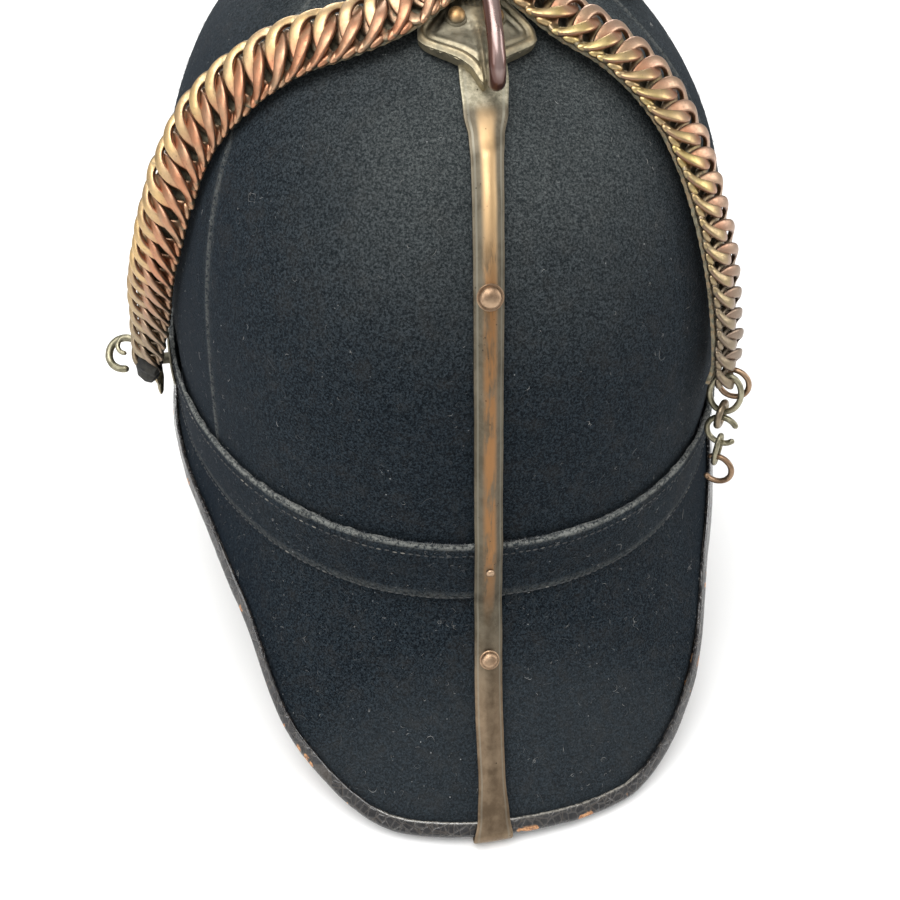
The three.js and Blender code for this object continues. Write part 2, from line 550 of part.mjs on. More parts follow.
// ---------------------------------------------------------------- side fastenings and loose rings
const ROSETTE = { turn: 86, up: 2, post: 1.9, stand: 4.4, radius: 12, petals: 8 };
function rosetteFrame(hand) {
  const turn = hand * ROSETTE.turn, out = outwardAt(turn);
  const p = planRadius(turn).addScaledVector(out, 2 * GAP + BAND_THICK + 0.12).setZ(BAND_TOP + ROSETTE.up);
  return { p, out };
}
function rosette(hand) {
  const { p, out } = rosetteFrame(hand);
  const turned = (rows, sides) =>
    new THREE.LatheGeometry(rows.map(([x, y]) => new THREE.Vector2(x, y)), sides).rotateX(PI / 2);
  const plate = turned([[0, 0], [9.5, 0], [9.5, 0.9], [0, 0.9]], 24);
  const post = turned([[0, 0.4], [ROSETTE.post, 0.4], [ROSETTE.post, ROSETTE.stand + 1],
    [0, ROSETTE.stand + 1]], 12);
  const s = ROSETTE.stand;
  const disc = turned([[0, s], [ROSETTE.radius, s], [ROSETTE.radius, s + 1],
    [ROSETTE.radius * 0.72, s + 2.2],
    [ROSETTE.radius * 0.36, s + 1.9], [ROSETTE.radius * 0.3, s + 3.4], [0, s + 4]], ROSETTE.petals * 4);
  const spots = disc.getAttribute('position');
  for (let i = 0; i < spots.count; i += 1) {
    const x = spots.getX(i), y = spots.getY(i), r = hypot(x, y);
    const k = 1 + 0.06 * pow(r / ROSETTE.radius, 2) * cos(ROSETTE.petals * Math.atan2(y, x));
    spots.setXY(i, x * k, y * k);
  }
  return place(join(plate, post, disc), p, out, V(0, 0, 1));
}

// places near one end of the chain: out from the crown, along the chain's width and up, from its last
// wire's middle
function endSpot(run, out, side, up) {
  const f = chainFrame(run), n = V(f.up.x, f.up.y, 0).normalize(), s = V(0, 0, 1).cross(n);
  return { p: f.p.clone().addScaledVector(n, out).addScaledVector(s, side).add(V(0, 0, up)), n, s };
}
// bent rings caught on the outer wires at the left end: run along the chain, side and up from its middle
const LEFT_RINGS = [
  { name: 'loose_ring_left_1', run: -6, side: 9.6, up: 1.0, radius: 5.0, wire: 0.85, open: 0.6,
    look: 'tarnish' },
  { name: 'loose_ring_left_2', run: -1.5, side: 9.1, up: 0.7, radius: 2.5, wire: 0.6, open: 0.9,
    look: 'umber' },
];
const RING_LEAN = { along: 0.85, up: 0.5 };
// places are the ring's middle; tall is its upright half, across the other one
// rings at the right end, each through the one above; flat ones lie along the wall
const RIGHT_RINGS = [
  { name: 'end_link_right_1', out: 0, side: -1.5, up: -3.1, tall: 6.0, across: 4.4, wire: 0.85,
    flat: false, open: 0, look: 'umber' },
  { name: 'loose_ring_right', out: 1.1, side: 1.3, up: -0.85, tall: 4.3, across: 4.3, wire: 0.8,
    flat: false, open: 0, look: 'copper' },
  { name: 'end_stud_right', out: 0.2, side: -1.5, up: -10.2, tall: 3.4, across: 3.4, wire: 1.0, flat: true,
    open: 0, look: 'brass' },
  { name: 'end_link_right_2', out: 1.4, side: -1.5, up: -15.5, tall: 4.4, across: 4.4, wire: 0.85,
    flat: false, open: 0.5, mouth: 1, look: 'tarnish' },
  { name: 'end_link_right_3', out: 1.4, side: -1.5, up: -22.55, tall: 4.8, across: 2.4, wire: 0.8,
    flat: true, open: 0, look: 'tarnish' },
  { name: 'end_hook_right', out: 2.4, side: -1.5, up: -29.4, tall: 4.4, across: 4.4, wire: 0.85,
    flat: false, open: 0.8, mouth: -1, look: 'copper' },
];

// ring of wire round the axis z, oval when its long half is given
function wireRing(centre, axis, radius, wire, { long = radius, hint = V(0, 0, 1), open = 0 } = {}) {
  const z = axis.clone().normalize();
  const x = hint.clone().addScaledVector(z, -hint.dot(z)).normalize(), y = z.clone().cross(x);
  const steps = 16;
  const angles = Array.from({ length: open ? steps + 1 : steps },
    (_, i) => (open ? lerp(open, 2 * PI - open, i / steps) : 2 * PI * i / steps));
  const path = angles.map((a) => {
    const p = centre.clone().addScaledVector(x, long * cos(a)).addScaledVector(y, radius * sin(a));
    const tangent = x.clone().multiplyScalar(-long * sin(a))
      .addScaledVector(y, radius * cos(a)).normalize();
    return { p, out: z, side: tangent.clone().cross(z) };
  });
  const rings = ringAround(path, wire, 7);
  return open ? skin(rings) : skin(rings, { loop: true });
}

const metals = {
  copper: { color: 0x8a5a3c, roughness: 0.4, metalness: 1 },
  tarnish: { color: 0x6d6352, roughness: 0.5, metalness: 1 },
  brass: { color: 0x9a7b3c, roughness: 0.4, metalness: 1 },
  umber: { color: 0x2c1a14, roughness: 0.3, metalness: 1 },
};
const softs = {
  cloth: { color: 0x14161c, roughness: 1, metalness: 0 },
  patent: { color: 0x0b0a0a, roughness: 0.3, metalness: 0 },
  strap: { color: 0x241d16, roughness: 0.8, metalness: 0 },
};
const group = new THREE.Group();
group.name = 'cloth_helmet';
function add(name, geometry, look) {
  const mesh = new THREE.Mesh(geometry, new THREE.MeshStandardMaterial(look));
  mesh.name = name;
  group.add(mesh);
}

add('crown', crownShell(), softs.cloth);
add('band', bandRing(), softs.cloth);
add('back_peak', peakShell(BACK_RIM, 0), softs.cloth);
add('front_peak', peakShell(FRONT_RIM, 180), softs.cloth);
add('back_binding', binding(BACK_RIM, 0, 3.2, BINDING_THICK), softs.patent);
add('front_binding', binding(FRONT_RIM, 180, 4.8, 0.8), metals.tarnish);
add('back_bar', backBar(), metals.tarnish);
add('cross_base', crossBase(), metals.tarnish);
add('spike', spikeBody(), metals.tarnish);
add('chain_hook', chainHook(), metals.umber);
add('chin_chain', chinChain(), metals.copper);
add('chain_lining', chainLining(), softs.strap);
add('rosette_left', rosette(-1), metals.tarnish);
add('rosette_right', rosette(1), metals.tarnish);
add('upper_stud', roundStud(2.95, 1.9, { level: 0.54, off: 2.35, x: -5.6 }, GAP), metals.copper);
add('bar_pin', roundStud(1.25, 0.6, { onBand: 5.4, off: 2.5, x: -4.8 }, GAP), metals.copper);
add('lower_stud', roundStud(2.6, 1.6, { drop: 0.28, off: 4.05, x: -5.3 }, GAP), metals.copper);

for (const r of LEFT_RINGS) {
  const { p, along, side, up } = chainFrame(r.run);
  p.addScaledVector(side, r.side).addScaledVector(up, r.up);
  const axis = along.multiplyScalar(RING_LEAN.along).addScaledVector(up, RING_LEAN.up);
  add(r.name, wireRing(p, axis, r.radius, r.wire, { hint: side.negate(), open: r.open }), metals[r.look]);
}
for (const r of RIGHT_RINGS) {
  const { p, n, s } = endSpot(LAST_WIRE, r.out, r.side, r.up);
  const shape = { long: r.tall, hint: r.open ? n.clone().multiplyScalar(r.mouth) : V(0, 0, 1),
    open: r.open };
  add(r.name, wireRing(p, r.flat ? n : s, r.across, r.wire, shape), metals[r.look]);
}

export default group;
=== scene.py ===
# An officer's cloth helmet, its broad chin chain hooked up at the back. Sizes in the tables are millimetres.
import random
from math import atan2, copysign, cos, degrees, hypot, pi, radians, sin, sqrt

import bpy
import numpy as np
from mathutils import Matrix, Vector, kdtree, noise


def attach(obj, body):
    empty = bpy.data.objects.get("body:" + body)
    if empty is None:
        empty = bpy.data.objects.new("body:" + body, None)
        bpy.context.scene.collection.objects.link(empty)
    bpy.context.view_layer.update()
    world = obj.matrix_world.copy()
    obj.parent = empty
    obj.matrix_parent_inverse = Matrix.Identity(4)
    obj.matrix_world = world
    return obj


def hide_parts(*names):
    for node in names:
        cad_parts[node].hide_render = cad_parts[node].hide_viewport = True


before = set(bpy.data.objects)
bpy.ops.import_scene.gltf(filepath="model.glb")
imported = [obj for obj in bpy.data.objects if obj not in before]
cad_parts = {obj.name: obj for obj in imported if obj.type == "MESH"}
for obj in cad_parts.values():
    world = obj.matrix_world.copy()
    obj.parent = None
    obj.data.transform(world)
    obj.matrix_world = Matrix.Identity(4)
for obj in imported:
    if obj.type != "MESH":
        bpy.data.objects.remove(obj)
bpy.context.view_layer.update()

MM = 0.001
GAP = 0.32
HEART = np.array((0, 0, 0.11))
HALF_WIDTH, REAR, FRONT, RISE, BAND_TOP = 89.0, 117.5, 114.0, 133.0, 81.85
PLAN, DOME, ROOT = 2.26, 3.0, 2.2
BAND_HEIGHT, BAND_THICK, PEAK_WALL, REAR_LIFT, SIDE_LIFT = 21.0, 1.7, 2.6, 1.5, 14.0
CROSS_X, CROSS_Y, ARM_TURN, DOME_LIFT, SEAM_Y = 1.0, -25.0, -3.5, 1.1, -10.0


def clamp(x, low=0, high=1):
    return min(max(x, low), high)


def ease(x):
    return x * x * (3 - 2 * x)


def hill(x, width):
    return np.exp(-(x / width) ** 2)


def lump(x, y, z):
    return noise.noise(Vector((x, y, z)))


# ---- camera, floor and lights
def set_camera():
    tilt, turn, roll = radians(38.4), radians(-10.8), radians(1.07)
    back = Vector((sin(turn) * cos(tilt), -cos(turn) * cos(tilt), sin(tilt)))
    across = Vector((cos(turn), sin(turn), 0))
    upward = back.cross(across)
    right = across * cos(roll) + upward * sin(roll)
    up = upward * cos(roll) - across * sin(roll)
    aside, lower, away = 5.96, -46.9, 361.7
    place = right * aside + up * lower + back * away + Vector((0, 0, BAND_TOP))
    bpy.ops.object.camera_add()
    camera = bpy.context.object
    camera.matrix_world = Matrix.Translation(place * MM) @ Matrix((right, up, back)).transposed().to_4x4()
    camera.data.lens, camera.data.sensor_width = 40, 36
    camera.data.clip_start, camera.data.clip_end = 0.01, 20
    bpy.context.scene.camera = camera


def set_lights():
    world = bpy.data.worlds.new("studio")
    bpy.context.scene.world = world
    world.use_nodes = True
    world.node_tree.nodes["Background"].inputs["Color"].default_value = (1, 1, 1, 1)
    world.node_tree.nodes["Background"].inputs["Strength"].default_value = 0.5
    # place, aim, width and depth of the lamp, watts
    lamps = {
        "overhead_lamp": ((-0.25, -0.35, 1.05), (0, -0.02, 0.12), 0.9, 0.7, 12.0),
        "left_lamp": ((-0.95, -0.55, 0.55), (0, 0, 0.12), 0.5, 0.7, 4.0),
        "right_lamp": ((1.0, -0.25, 0.6), (0, 0, 0.12), 0.4, 0.7, 4.5),
        "back_lamp": ((0.1, 0.95, 0.75), (0, 0, 0.14), 0.8, 0.4, 8.0),
    }
    for name, (place, aim, wide, deep, power) in lamps.items():
        bpy.ops.object.light_add(type="AREA", location=place)
        lamp = bpy.context.object
        lamp.name = name
        lamp.data.shape, lamp.data.size, lamp.data.size_y, lamp.data.energy = "RECTANGLE", wide, deep, power
        lamp.rotation_euler = (Vector(aim) - Vector(place)).to_track_quat("-Z", "Y").to_euler()


# ---- bench work
def take(piece):
    bpy.ops.object.select_all(action="DESELECT")
    piece.select_set(True)
    bpy.context.view_layer.objects.active = piece
    return piece


def open_up(piece):
    take(piece)
    bpy.ops.object.mode_set(mode="EDIT")
    bpy.ops.mesh.select_mode(type="VERT")
    bpy.ops.mesh.select_all(action="SELECT")


def shut():
    bpy.ops.object.mode_set(mode="OBJECT")


def named(name):
    piece = bpy.context.object
    piece.name = piece.data.name = name
    return piece


def modify(piece, kind, **settings):
    take(piece)
    modifier = piece.modifiers.new(kind.lower(), kind)
    for key, value in settings.items():
        setattr(modifier, key, value)
    bpy.ops.object.modifier_apply(modifier=modifier.name)
    return piece


def rounded(piece, levels=2):
    return modify(piece, "SUBSURF", levels=levels, render_levels=levels)


def smooth(piece, angle=40):
    take(piece)
    bpy.ops.object.shade_smooth_by_angle(angle=radians(angle), keep_sharp_edges=False)
    return piece


def begin(name, kind, **size):
    bpy.ops.object.select_all(action="DESELECT")
    getattr(bpy.ops.mesh, f"primitive_{kind}_add")(**size)
    return named(name)


def read_out(rows, key, wide=1, kind=np.float32):
    values = np.empty(len(rows) * wide, kind)
    rows.foreach_get(key, values)
    return values.reshape(-1, wide) if wide > 1 else values


def points_of(piece):
    return read_out(piece.data.vertices, "co", 3).astype(float)


def set_points(piece, spots):
    piece.data.vertices.foreach_set("co", np.asarray(spots, np.float32).ravel())
    piece.data.update()


def normals_of(piece):
    return read_out(piece.data.vertex_normals, "vector", 3).astype(float)


def mark(piece, name, values):
    layer = piece.data.attributes.get(name) or piece.data.attributes.new(name, "FLOAT", "POINT")
    layer.data.foreach_set("value", np.array(np.broadcast_to(values, len(layer.data)), np.float32))


def stand(name, mesh):
    piece = bpy.data.objects.new(name, mesh)
    bpy.context.scene.collection.objects.link(piece)
    return piece


def copy_of(node, name):
    piece = stand(name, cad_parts[node].data.copy())
    piece.data.materials.clear()
    piece.data.name = name
    open_up(piece)
    bpy.ops.mesh.remove_doubles(threshold=4e-6)
    bpy.ops.mesh.tris_convert_to_quads(face_threshold=radians(60), shape_threshold=radians(60))
    shut()
    return piece


def mend(piece):
    open_up(piece)
    bpy.ops.mesh.remove_doubles(threshold=2e-6)
    bpy.ops.mesh.dissolve_degenerate(threshold=1e-7)
    bpy.ops.mesh.normals_make_consistent(inside=False)
    shut()
    return piece


# an oval bead with its axes in the order given, and its points before they are set
def pebble(name, sizes, order, segments=12, ring_count=8):
    piece = begin(name, "uv_sphere", segments=segments, ring_count=ring_count, radius=1)
    return piece, points_of(piece)[:, order] * np.array(sizes)


def tree_of(spots):
    tree = kdtree.KDTree(len(spots))
    for i, p in enumerate(spots):
        tree.insert(p, i)
    tree.balance()
    return tree


# a grid rolled into a tube: spot(u, v) is the place along it and round it; its first and last rows close it
def rolled(name, steps, sides, spot, ends=True):
    piece = begin(name, "grid", x_subdivisions=steps, y_subdivisions=sides, size=1)
    flat = points_of(piece) + 0.5
    spots = np.array([tuple(spot(u, v)) for u, v, _ in flat])
    if ends:
        for row in (flat[:, 0] < 1e-4, flat[:, 0] > 1 - 1e-4):
            spots[row] = spots[row].mean(0)
    set_points(piece, spots)
    return mend(piece)


# the same with its end rows doubled first, so that flat ends stay flat
def capped(u, steps):
    return clamp((u * steps - 1) / (steps - 2))


# a round piece: a ring drawn up through rows of radius and height about an upright axis at the origin
def turned(name, rows, sides=64):
    radius, height = rows[0]
    piece = begin(name, "circle", vertices=sides, radius=max(radius, 0.02) * MM, location=(0, 0, height * MM))
    bpy.ops.object.transform_apply(location=True, rotation=True, scale=True)
    open_up(piece)
    for (r0, z0), (r1, z1) in zip(rows, rows[1:]):
        bpy.ops.mesh.extrude_edges_move(TRANSFORM_OT_translate={"value": (0, 0, (z1 - z0) * MM)})
        k = max(r1, 0.02) / max(r0, 0.02)
        bpy.ops.transform.resize(value=(k, k, 1), center_override=(0, 0, z1 * MM))
    shut()
    open_up(piece)
    bpy.ops.mesh.remove_doubles(threshold=5e-5)
    shut()
    return mend(piece)


def placed(piece, origin, out, hint=Vector((0, 0, 1))):
    z = Vector(out).normalized()
    y = z.cross(hint).normalized() if abs(z.dot(hint)) < 0.99 else z.cross(Vector((1, 0, 0))).normalized()
    x = y.cross(z)
    turn = np.array((x, y, z)).T
    set_points(piece, points_of(piece) @ turn.T + np.array(origin) * MM)
    return piece


def joined(name, pieces):
    bpy.ops.object.select_all(action="DESELECT")
    for piece in pieces:
        piece.select_set(True)
    bpy.context.view_layer.objects.active = pieces[0]
    bpy.ops.object.join()
    return named(name)


# copies of one pattern, joined: each stands in its own frame of origin and three directions
def set_out(name, pattern, frames):
    base, data, count = points_of(pattern), pattern.data, len(frames)
    corners = read_out(data.loops, "vertex_index", kind=np.int32)
    sizes = np.tile(read_out(data.polygons, "loop_total", kind=np.int32), count)
    spots = np.concatenate([base @ np.array(axes, float) + np.array(origin) for origin, axes in frames])
    mesh = bpy.data.meshes.new(name)
    mesh.vertices.add(len(spots))
    mesh.vertices.foreach_set("co", spots.astype(np.float32).ravel())
    mesh.loops.add(len(corners) * count)
    mesh.loops.foreach_set("vertex_index", np.concatenate([corners + i * len(base) for i in range(count)]))
    mesh.polygons.add(len(sizes))
    mesh.polygons.foreach_set("loop_start", np.concatenate(([0], np.cumsum(sizes)[:-1])).astype(np.int32))
    mesh.polygons.foreach_set("use_smooth", np.ones(len(sizes), bool))
    mesh.update(calc_edges=True)
    mesh.validate()
    piece = stand(name, mesh)
    dice = random.Random(name)
    mark(piece, "odd", np.repeat([dice.random() for _ in range(count)], len(base)))
    for layer in data.attributes:
        if layer.data_type == "FLOAT" and layer.domain == "POINT":
            mark(piece, layer.name, np.tile(read_out(layer.data, "value"), count))
    bpy.data.objects.remove(pattern)
    return piece


# ---- the helmet's own surfaces
# turn from the middle of the peak, reach outward, height of the rim
BACK_RIM = [(0, 38.5, 4.95), (15, 36.5, 3.55), (30, 25.6, 16.15), (45, 10.4, 44.45), (60, 5.0, 59.95),
            (75, 4.0, 63.85), (90, 4.0, 64.55)]
FRONT_RIM = [(0, 42.0, 3.55), (13, 39.5, 3.55), (28, 27.0, 16.85), (43, 11.6, 44.45), (59, 5.4, 59.45),
             (75, 4.0, 63.85), (90, 4.0, 64.55)]


def read(rows, column, at):
    keys = [r[0] for r in rows]
    vals = [r[column] for r in rows]
    n = len(rows)
    slope = [(vals[i + 1] - vals[i]) / (keys[i + 1] - keys[i]) for i in range(n - 1)]
    lean = [0.0] * n
    lean[-1] = slope[-1]
    for i in range(1, n - 1):
        a, b = slope[i - 1], slope[i]
        lean[i] = 0 if a * b <= 0 else 2 * a * b / (a + b)
    i = 0
    while i < n - 2 and at > keys[i + 1]:
        i += 1
    span = keys[i + 1] - keys[i]
    f = clamp((at - keys[i]) / span)
    return (vals[i] * (2 * f**3 - 3 * f**2 + 1) + vals[i + 1] * (3 * f**2 - 2 * f**3)
            + span * (lean[i] * (f**3 - 2 * f**2 + f) + lean[i + 1] * (f**3 - f**2)))


def plan(turn):
    s, c = sin(radians(turn)), cos(radians(turn))
    r = (abs(s) ** PLAN + abs(c) ** PLAN) ** (-1 / PLAN)
    return Vector((HALF_WIDTH * r * s, -(REAR if c > 0 else FRONT) * r * c, 0))


def lift(turn):
    return REAR_LIFT + (SIDE_LIFT - REAR_LIFT) * sin(radians(turn)) ** 2


def outward(turn):
    a = plan(turn + 0.05) - plan(turn - 0.05)
    return Vector((a.y, -a.x, 0)).normalized()


def crown_spot(turn, level):
    k = 1 if level <= 0 else max(1 - level**DOME, 0) ** (1 / ROOT)
    p = plan(turn) * k
    p.z = BAND_TOP + level * RISE
    return p


def on_crown(turn, level, off):
    level = min(level, 0.9995)
    a = crown_spot(turn + 0.05, level) - crown_spot(turn - 0.05, level)
    b = crown_spot(turn, level + 1e-4) - crown_spot(turn, level - 1e-4)
    n = a.cross(b).normalized()
    return crown_spot(turn, level) + n * off, n


def over_crown(x, y, off):
    def height(a, b):
        deep = REAR if b < 0 else FRONT
        r = ((abs(a) / HALF_WIDTH) ** PLAN + (abs(b) / deep) ** PLAN) ** (1 / PLAN)
        return BAND_TOP + RISE * (1 - min(r, 1) ** ROOT) ** (1 / DOME)
    e = 0.02
    slope_x = (height(x + e, y) - height(x - e, y)) / (2 * e)
    slope_y = (height(x, y + e) - height(x, y - e)) / (2 * e)
    n = Vector((-slope_x, -slope_y, 1)).normalized()
    return Vector((x, y, height(x, y))) + n * off, n


def on_arm(heading, along, side, off):
    x, y = cos(radians(heading + ARM_TURN)), sin(radians(heading + ARM_TURN))
    return over_crown(CROSS_X + along * x - side * y, CROSS_Y + along * y + side * x, off)


def peak_spot(rows, middle, turn, drop):
    whole = middle + turn
    root = BAND_TOP + lift(whole) - BAND_HEIGHT
    reach, rim = read(rows, 1, abs(turn)), read(rows, 2, abs(turn))
    p = plan(whole) + outward(whole) * (reach * max(drop, 0) ** 1.2)
    p.z = root + (rim - root) * drop
    return p


def on_peak(rows, middle, turn, drop):
    high = min(drop + 0.02, 1.02)
    a = peak_spot(rows, middle, turn + 0.05, drop) - peak_spot(rows, middle, turn - 0.05, drop)
    b = peak_spot(rows, middle, turn, high) - peak_spot(rows, middle, turn, drop - 0.02)
    return peak_spot(rows, middle, turn, drop), b.cross(a).normalized(), b.normalized()


# a smooth road through points, measured by its length
class Road:
    def __init__(self, points, steps=1200):
        self.points = np.array([tuple(p) for p in points], float)
        self.count = len(points)
        ends = (2 * self.points[0] - self.points[1], 2 * self.points[-1] - self.points[-2])
        self.full = np.vstack((ends[0], self.points, ends[1]))
        self.times = np.linspace(0, 1, steps + 1)
        spots = np.array([self.at_time(t) for t in self.times])
        self.lengths = np.concatenate(([0], np.cumsum(np.linalg.norm(np.diff(spots, axis=0), axis=1))))
        self.length = self.lengths[-1]

    def at_time(self, t):
        where = t * (self.count - 1)
        i = min(int(where), self.count - 2)
        w = where - i
        p0, p1, p2, p3 = self.full[i:i + 4]
        d0, d1, d2 = (max(np.linalg.norm(b - a) ** 0.5, 1e-4) for a, b in ((p0, p1), (p1, p2), (p2, p3)))
        m1 = ((p1 - p0) / d0 - (p2 - p0) / (d0 + d1) + (p2 - p1) / d1) * d1
        m2 = ((p2 - p1) / d1 - (p3 - p1) / (d1 + d2) + (p3 - p2) / d2) * d1
        return p1 + m1 * w + (-3 * p1 + 3 * p2 - 2 * m1 - m2) * w**2 + (2 * p1 - 2 * p2 + m1 + m2) * w**3

    def time_of(self, share):
        return float(np.interp(share * self.length, self.lengths, self.times))

    def at(self, share):
        return Vector(self.at_time(self.time_of(share)))

    def heading(self, share):
        return (self.at(min(share + 1e-4, 1)) - self.at(max(share - 1e-4, 0))).normalized()


# turn, level on the crown, height of the chain's middle above it, roll of its face to the rear
CHAIN_ROUTE = [(-76, 0.10, 9.0, 38), (-73, 0.24, 7.5, 38), (-68, 0.38, 6.8, 37), (-63.5, 0.51, 6.5, 34),
               (-61, 0.61, 6.3, 31), (-58, 0.70, 6.1, 27), (-51, 0.785, 5.8, 20), (-43, 0.84, 5.3, 12),
               (-33, 0.872, 5.1, 6), (-22, 0.898, 6.0, 0), (-11, 0.925, 8.1, 0), (3, 0.944, 9.5, 0),
               (14, 0.915, 7.65, 0), (22, 0.885, 5.4, 0), (29.5, 0.85, 5, 0), (34.5, 0.80, 5, 0),
               (37.5, 0.74, 5, 0), (39, 0.67, 5, 0), (40, 0.58, 5.2, 0), (41, 0.47, 5.8, 0),
               (42, 0.35, 6.6, 0), (42.5, 0.25, 7.4, 0), (42.7, 0.17, 8.0, 0)]
chain_road = Road([on_crown(turn, level, off)[0] for turn, level, off, _ in CHAIN_ROUTE])
chain_out = [on_crown(turn, level, 0)[1] for turn, level, _, _ in CHAIN_ROUTE]


def chain_frame(run):
    share = clamp(run / chain_road.length)
    where = chain_road.time_of(share) * (len(CHAIN_ROUTE) - 1)
    i = min(int(where), len(CHAIN_ROUTE) - 2)
    w = where - i
    along = chain_road.heading(share)
    roll = radians(CHAIN_ROUTE[i][3] * (1 - w) + CHAIN_ROUTE[i + 1][3] * w)
    side = chain_out[i].lerp(chain_out[i + 1], w).cross(along).normalized()
    side.rotate(Matrix.Rotation(roll, 3, along))
    p = chain_road.at(share) + along * (run - share * chain_road.length)
    return p, along, side, along.cross(side).normalized()


# ---- finishes
class Finish:
    def __init__(self, name, look):
        self.material = bpy.data.materials.new(name)
        self.material.use_nodes = True
        self.nodes, self.links = self.material.node_tree.nodes, self.material.node_tree.links
        self.skin = self.nodes["Principled BSDF"]
        self.colour = self.bump = None
        for socket, value in look.items():
            self.skin.inputs[socket].default_value = value

    # a new node with its settings, each input fed a number, a colour or another node's output
    def node(self, kind, out, fed, **settings):
        made = self.nodes.new("ShaderNode" + kind)
        for key, value in settings.items():
            setattr(made, key, value)
        for key, value in fed.items():
            if isinstance(value, bpy.types.NodeSocket):
                self.links.new(value, made.inputs[key])
            else:
                made.inputs[key].default_value = (*value, 1) if kind == "Mix" and key != 0 else value
        return made.outputs[out]

    def where(self, stretch=None):
        coords = self.node("TexCoord", "Object", {})
        return self.node("Mapping", 0, {"Vector": coords, "Scale": stretch}) if stretch else coords

    def axis(self, letter):
        return self.node("SeparateXYZ", letter, {0: self.where()})

    def uv(self, letter):
        return self.node("SeparateXYZ", letter, {0: self.node("TexCoord", "UV", {})})

    def own(self, name):
        return self.node("Attribute", "Fac", {}, attribute_name=name)

    def noise(self, scale, detail=3.0, rough=0.6, stretch=None):
        fed = {"Vector": self.where(stretch), "Scale": scale, "Detail": detail, "Roughness": rough,
               "Distortion": 0}
        return self.node("TexNoise", 0, fed)

    def cells(self, scale, feature="F1", stretch=None):
        return self.node("TexVoronoi", "Distance", {"Vector": self.where(stretch), "Scale": scale},
                         feature=feature)

    def span(self, value, low, high, first=0.0, last=1.0):
        fed = {"Value": value, "From Min": low, "From Max": high, "To Min": first, "To Max": last}
        return self.node("MapRange", 0, fed, interpolation_type="SMOOTHSTEP")

    def sum(self, kind, a, b=0.0, held=True):
        return self.node("Math", 0, {0: a, 1: b}, operation=kind, use_clamp=held)

    def times(self, a, b):
        return self.sum("MULTIPLY", a, b)

    def plus(self, a, b):
        return self.sum("ADD", a, b)

    def most(self, a, b):
        return self.sum("MAXIMUM", a, b, held=False)

    def unsigned(self, a):
        return self.sum("ABSOLUTE", a, held=False)

    def mix(self, share, a, b):
        return self.node("Mix", 2, {0: share, 6: a, 7: b}, data_type="RGBA")

    # one more colour over those laid before it
    def lay(self, share, colour):
        self.colour = self.mix(share, self.colour, colour)

    # one more relief over those raised before it
    def emboss(self, height, depth, strength=1.0):
        fed = {"Strength": strength, "Distance": depth * MM, "Height": height}
        if self.bump is not None:
            fed["Normal"] = self.bump
        self.bump = self.node("Bump", 0, fed)

    def done(self, rough=None):
        for socket, value in (("Base Color", self.colour), ("Roughness", rough), ("Normal", self.bump)):
            if value is not None:
                self.links.new(value, self.skin.inputs[socket])
        return self.material


def helmet_cloth():
    f = Finish("navy_wool_cloth", {"Roughness": 0.95, "Sheen Weight": 0.03, "Sheen Roughness": 0.5,
                                   "Sheen Tint": (0.62, 0.70, 0.78, 1), "Specular IOR Level": 0.08})
    nap = f.noise(1700, 5, 0.85)
    pile = f.noise(900, 4, 0.8, stretch=(1, 1, 0.6))
    patch = f.noise(160, 4, 0.65)
    fade = f.noise(24)
    f.colour = f.mix(f.span(nap, 0.44, 0.62), (0.0010, 0.0026, 0.0044), (0.025, 0.035, 0.044))
    f.lay(f.times(f.span(pile, 0.50, 0.70), 0.6), (0.030, 0.037, 0.042))
    f.lay(f.times(f.span(patch, 0.45, 0.72), 0.3), (0.026, 0.024, 0.022))
    # the top and the middle of the back are lighter, partly faded and dusty cloth and partly painted light
    # where they face the lamps; the sides are darkened to deep blue as painted shade
    high = f.span(f.axis("Z"), 0.115, 0.205)
    back = f.span(f.unsigned(f.axis("X")), 0.068, 0.020, 0.0, 1.0)
    # painted light mixed with real dust and fading on the top and the middle of the back
    dust_and_top_light = f.times(f.times(high, back), f.span(fade, 0.30, 0.62, 0.55, 1.0))
    dust_and_light_tone = f.mix(f.span(nap, 0.40, 0.68), (0.018, 0.023, 0.024), (0.128, 0.137, 0.132))
    f.lay(f.times(dust_and_top_light, 0.85), dust_and_light_tone)
    # painted shade: the sides of the crown are darkened where they turn away from the light
    flank = f.span(f.unsigned(f.axis("X")), 0.056, 0.084, 0.0, 0.72)
    f.lay(flank, (0.0030, 0.0065, 0.0115))
    f.lay(f.span(f.axis("Y"), -0.119, -0.135, 0.0, 0.14), (0.070, 0.078, 0.082))
    lint = f.times(f.span(f.cells(340), 0.085, 0.02), f.span(f.noise(60, 2), 0.54, 0.62))
    f.lay(lint, (0.30, 0.31, 0.31))
    fuzz = f.times(f.own("worn"), f.span(f.noise(1000, 4, 0.8), 0.40, 0.56, 0.10, 1.0))
    f.lay(fuzz, (0.200, 0.205, 0.190))
    f.emboss(patch, 0.35, 0.5)
    f.emboss(pile, 0.30, 0.5)
    f.emboss(nap, 0.30, 0.7)
    return f.done()


def inner_cloth():
    f = Finish("buff_inner_cloth", {"Roughness": 0.9, "Sheen Weight": 0.15})
    warp = f.noise(1400, 2, 0.5, stretch=(1, 1, 0.12))
    weft = f.noise(1400, 2, 0.5, stretch=(0.12, 0.12, 1))
    stain = f.noise(30, 4)
    f.colour = f.mix(f.span(warp, 0.35, 0.65), (0.20, 0.155, 0.10), (0.32, 0.26, 0.18))
    f.lay(f.times(f.span(weft, 0.4, 0.7), 0.5), (0.38, 0.32, 0.23))
    f.lay(f.times(f.span(stain, 0.45, 0.7), 0.7), (0.12, 0.085, 0.055))
    f.emboss(warp, 0.2, 0.5)
    f.emboss(weft, 0.2, 0.5)
    return f.done()


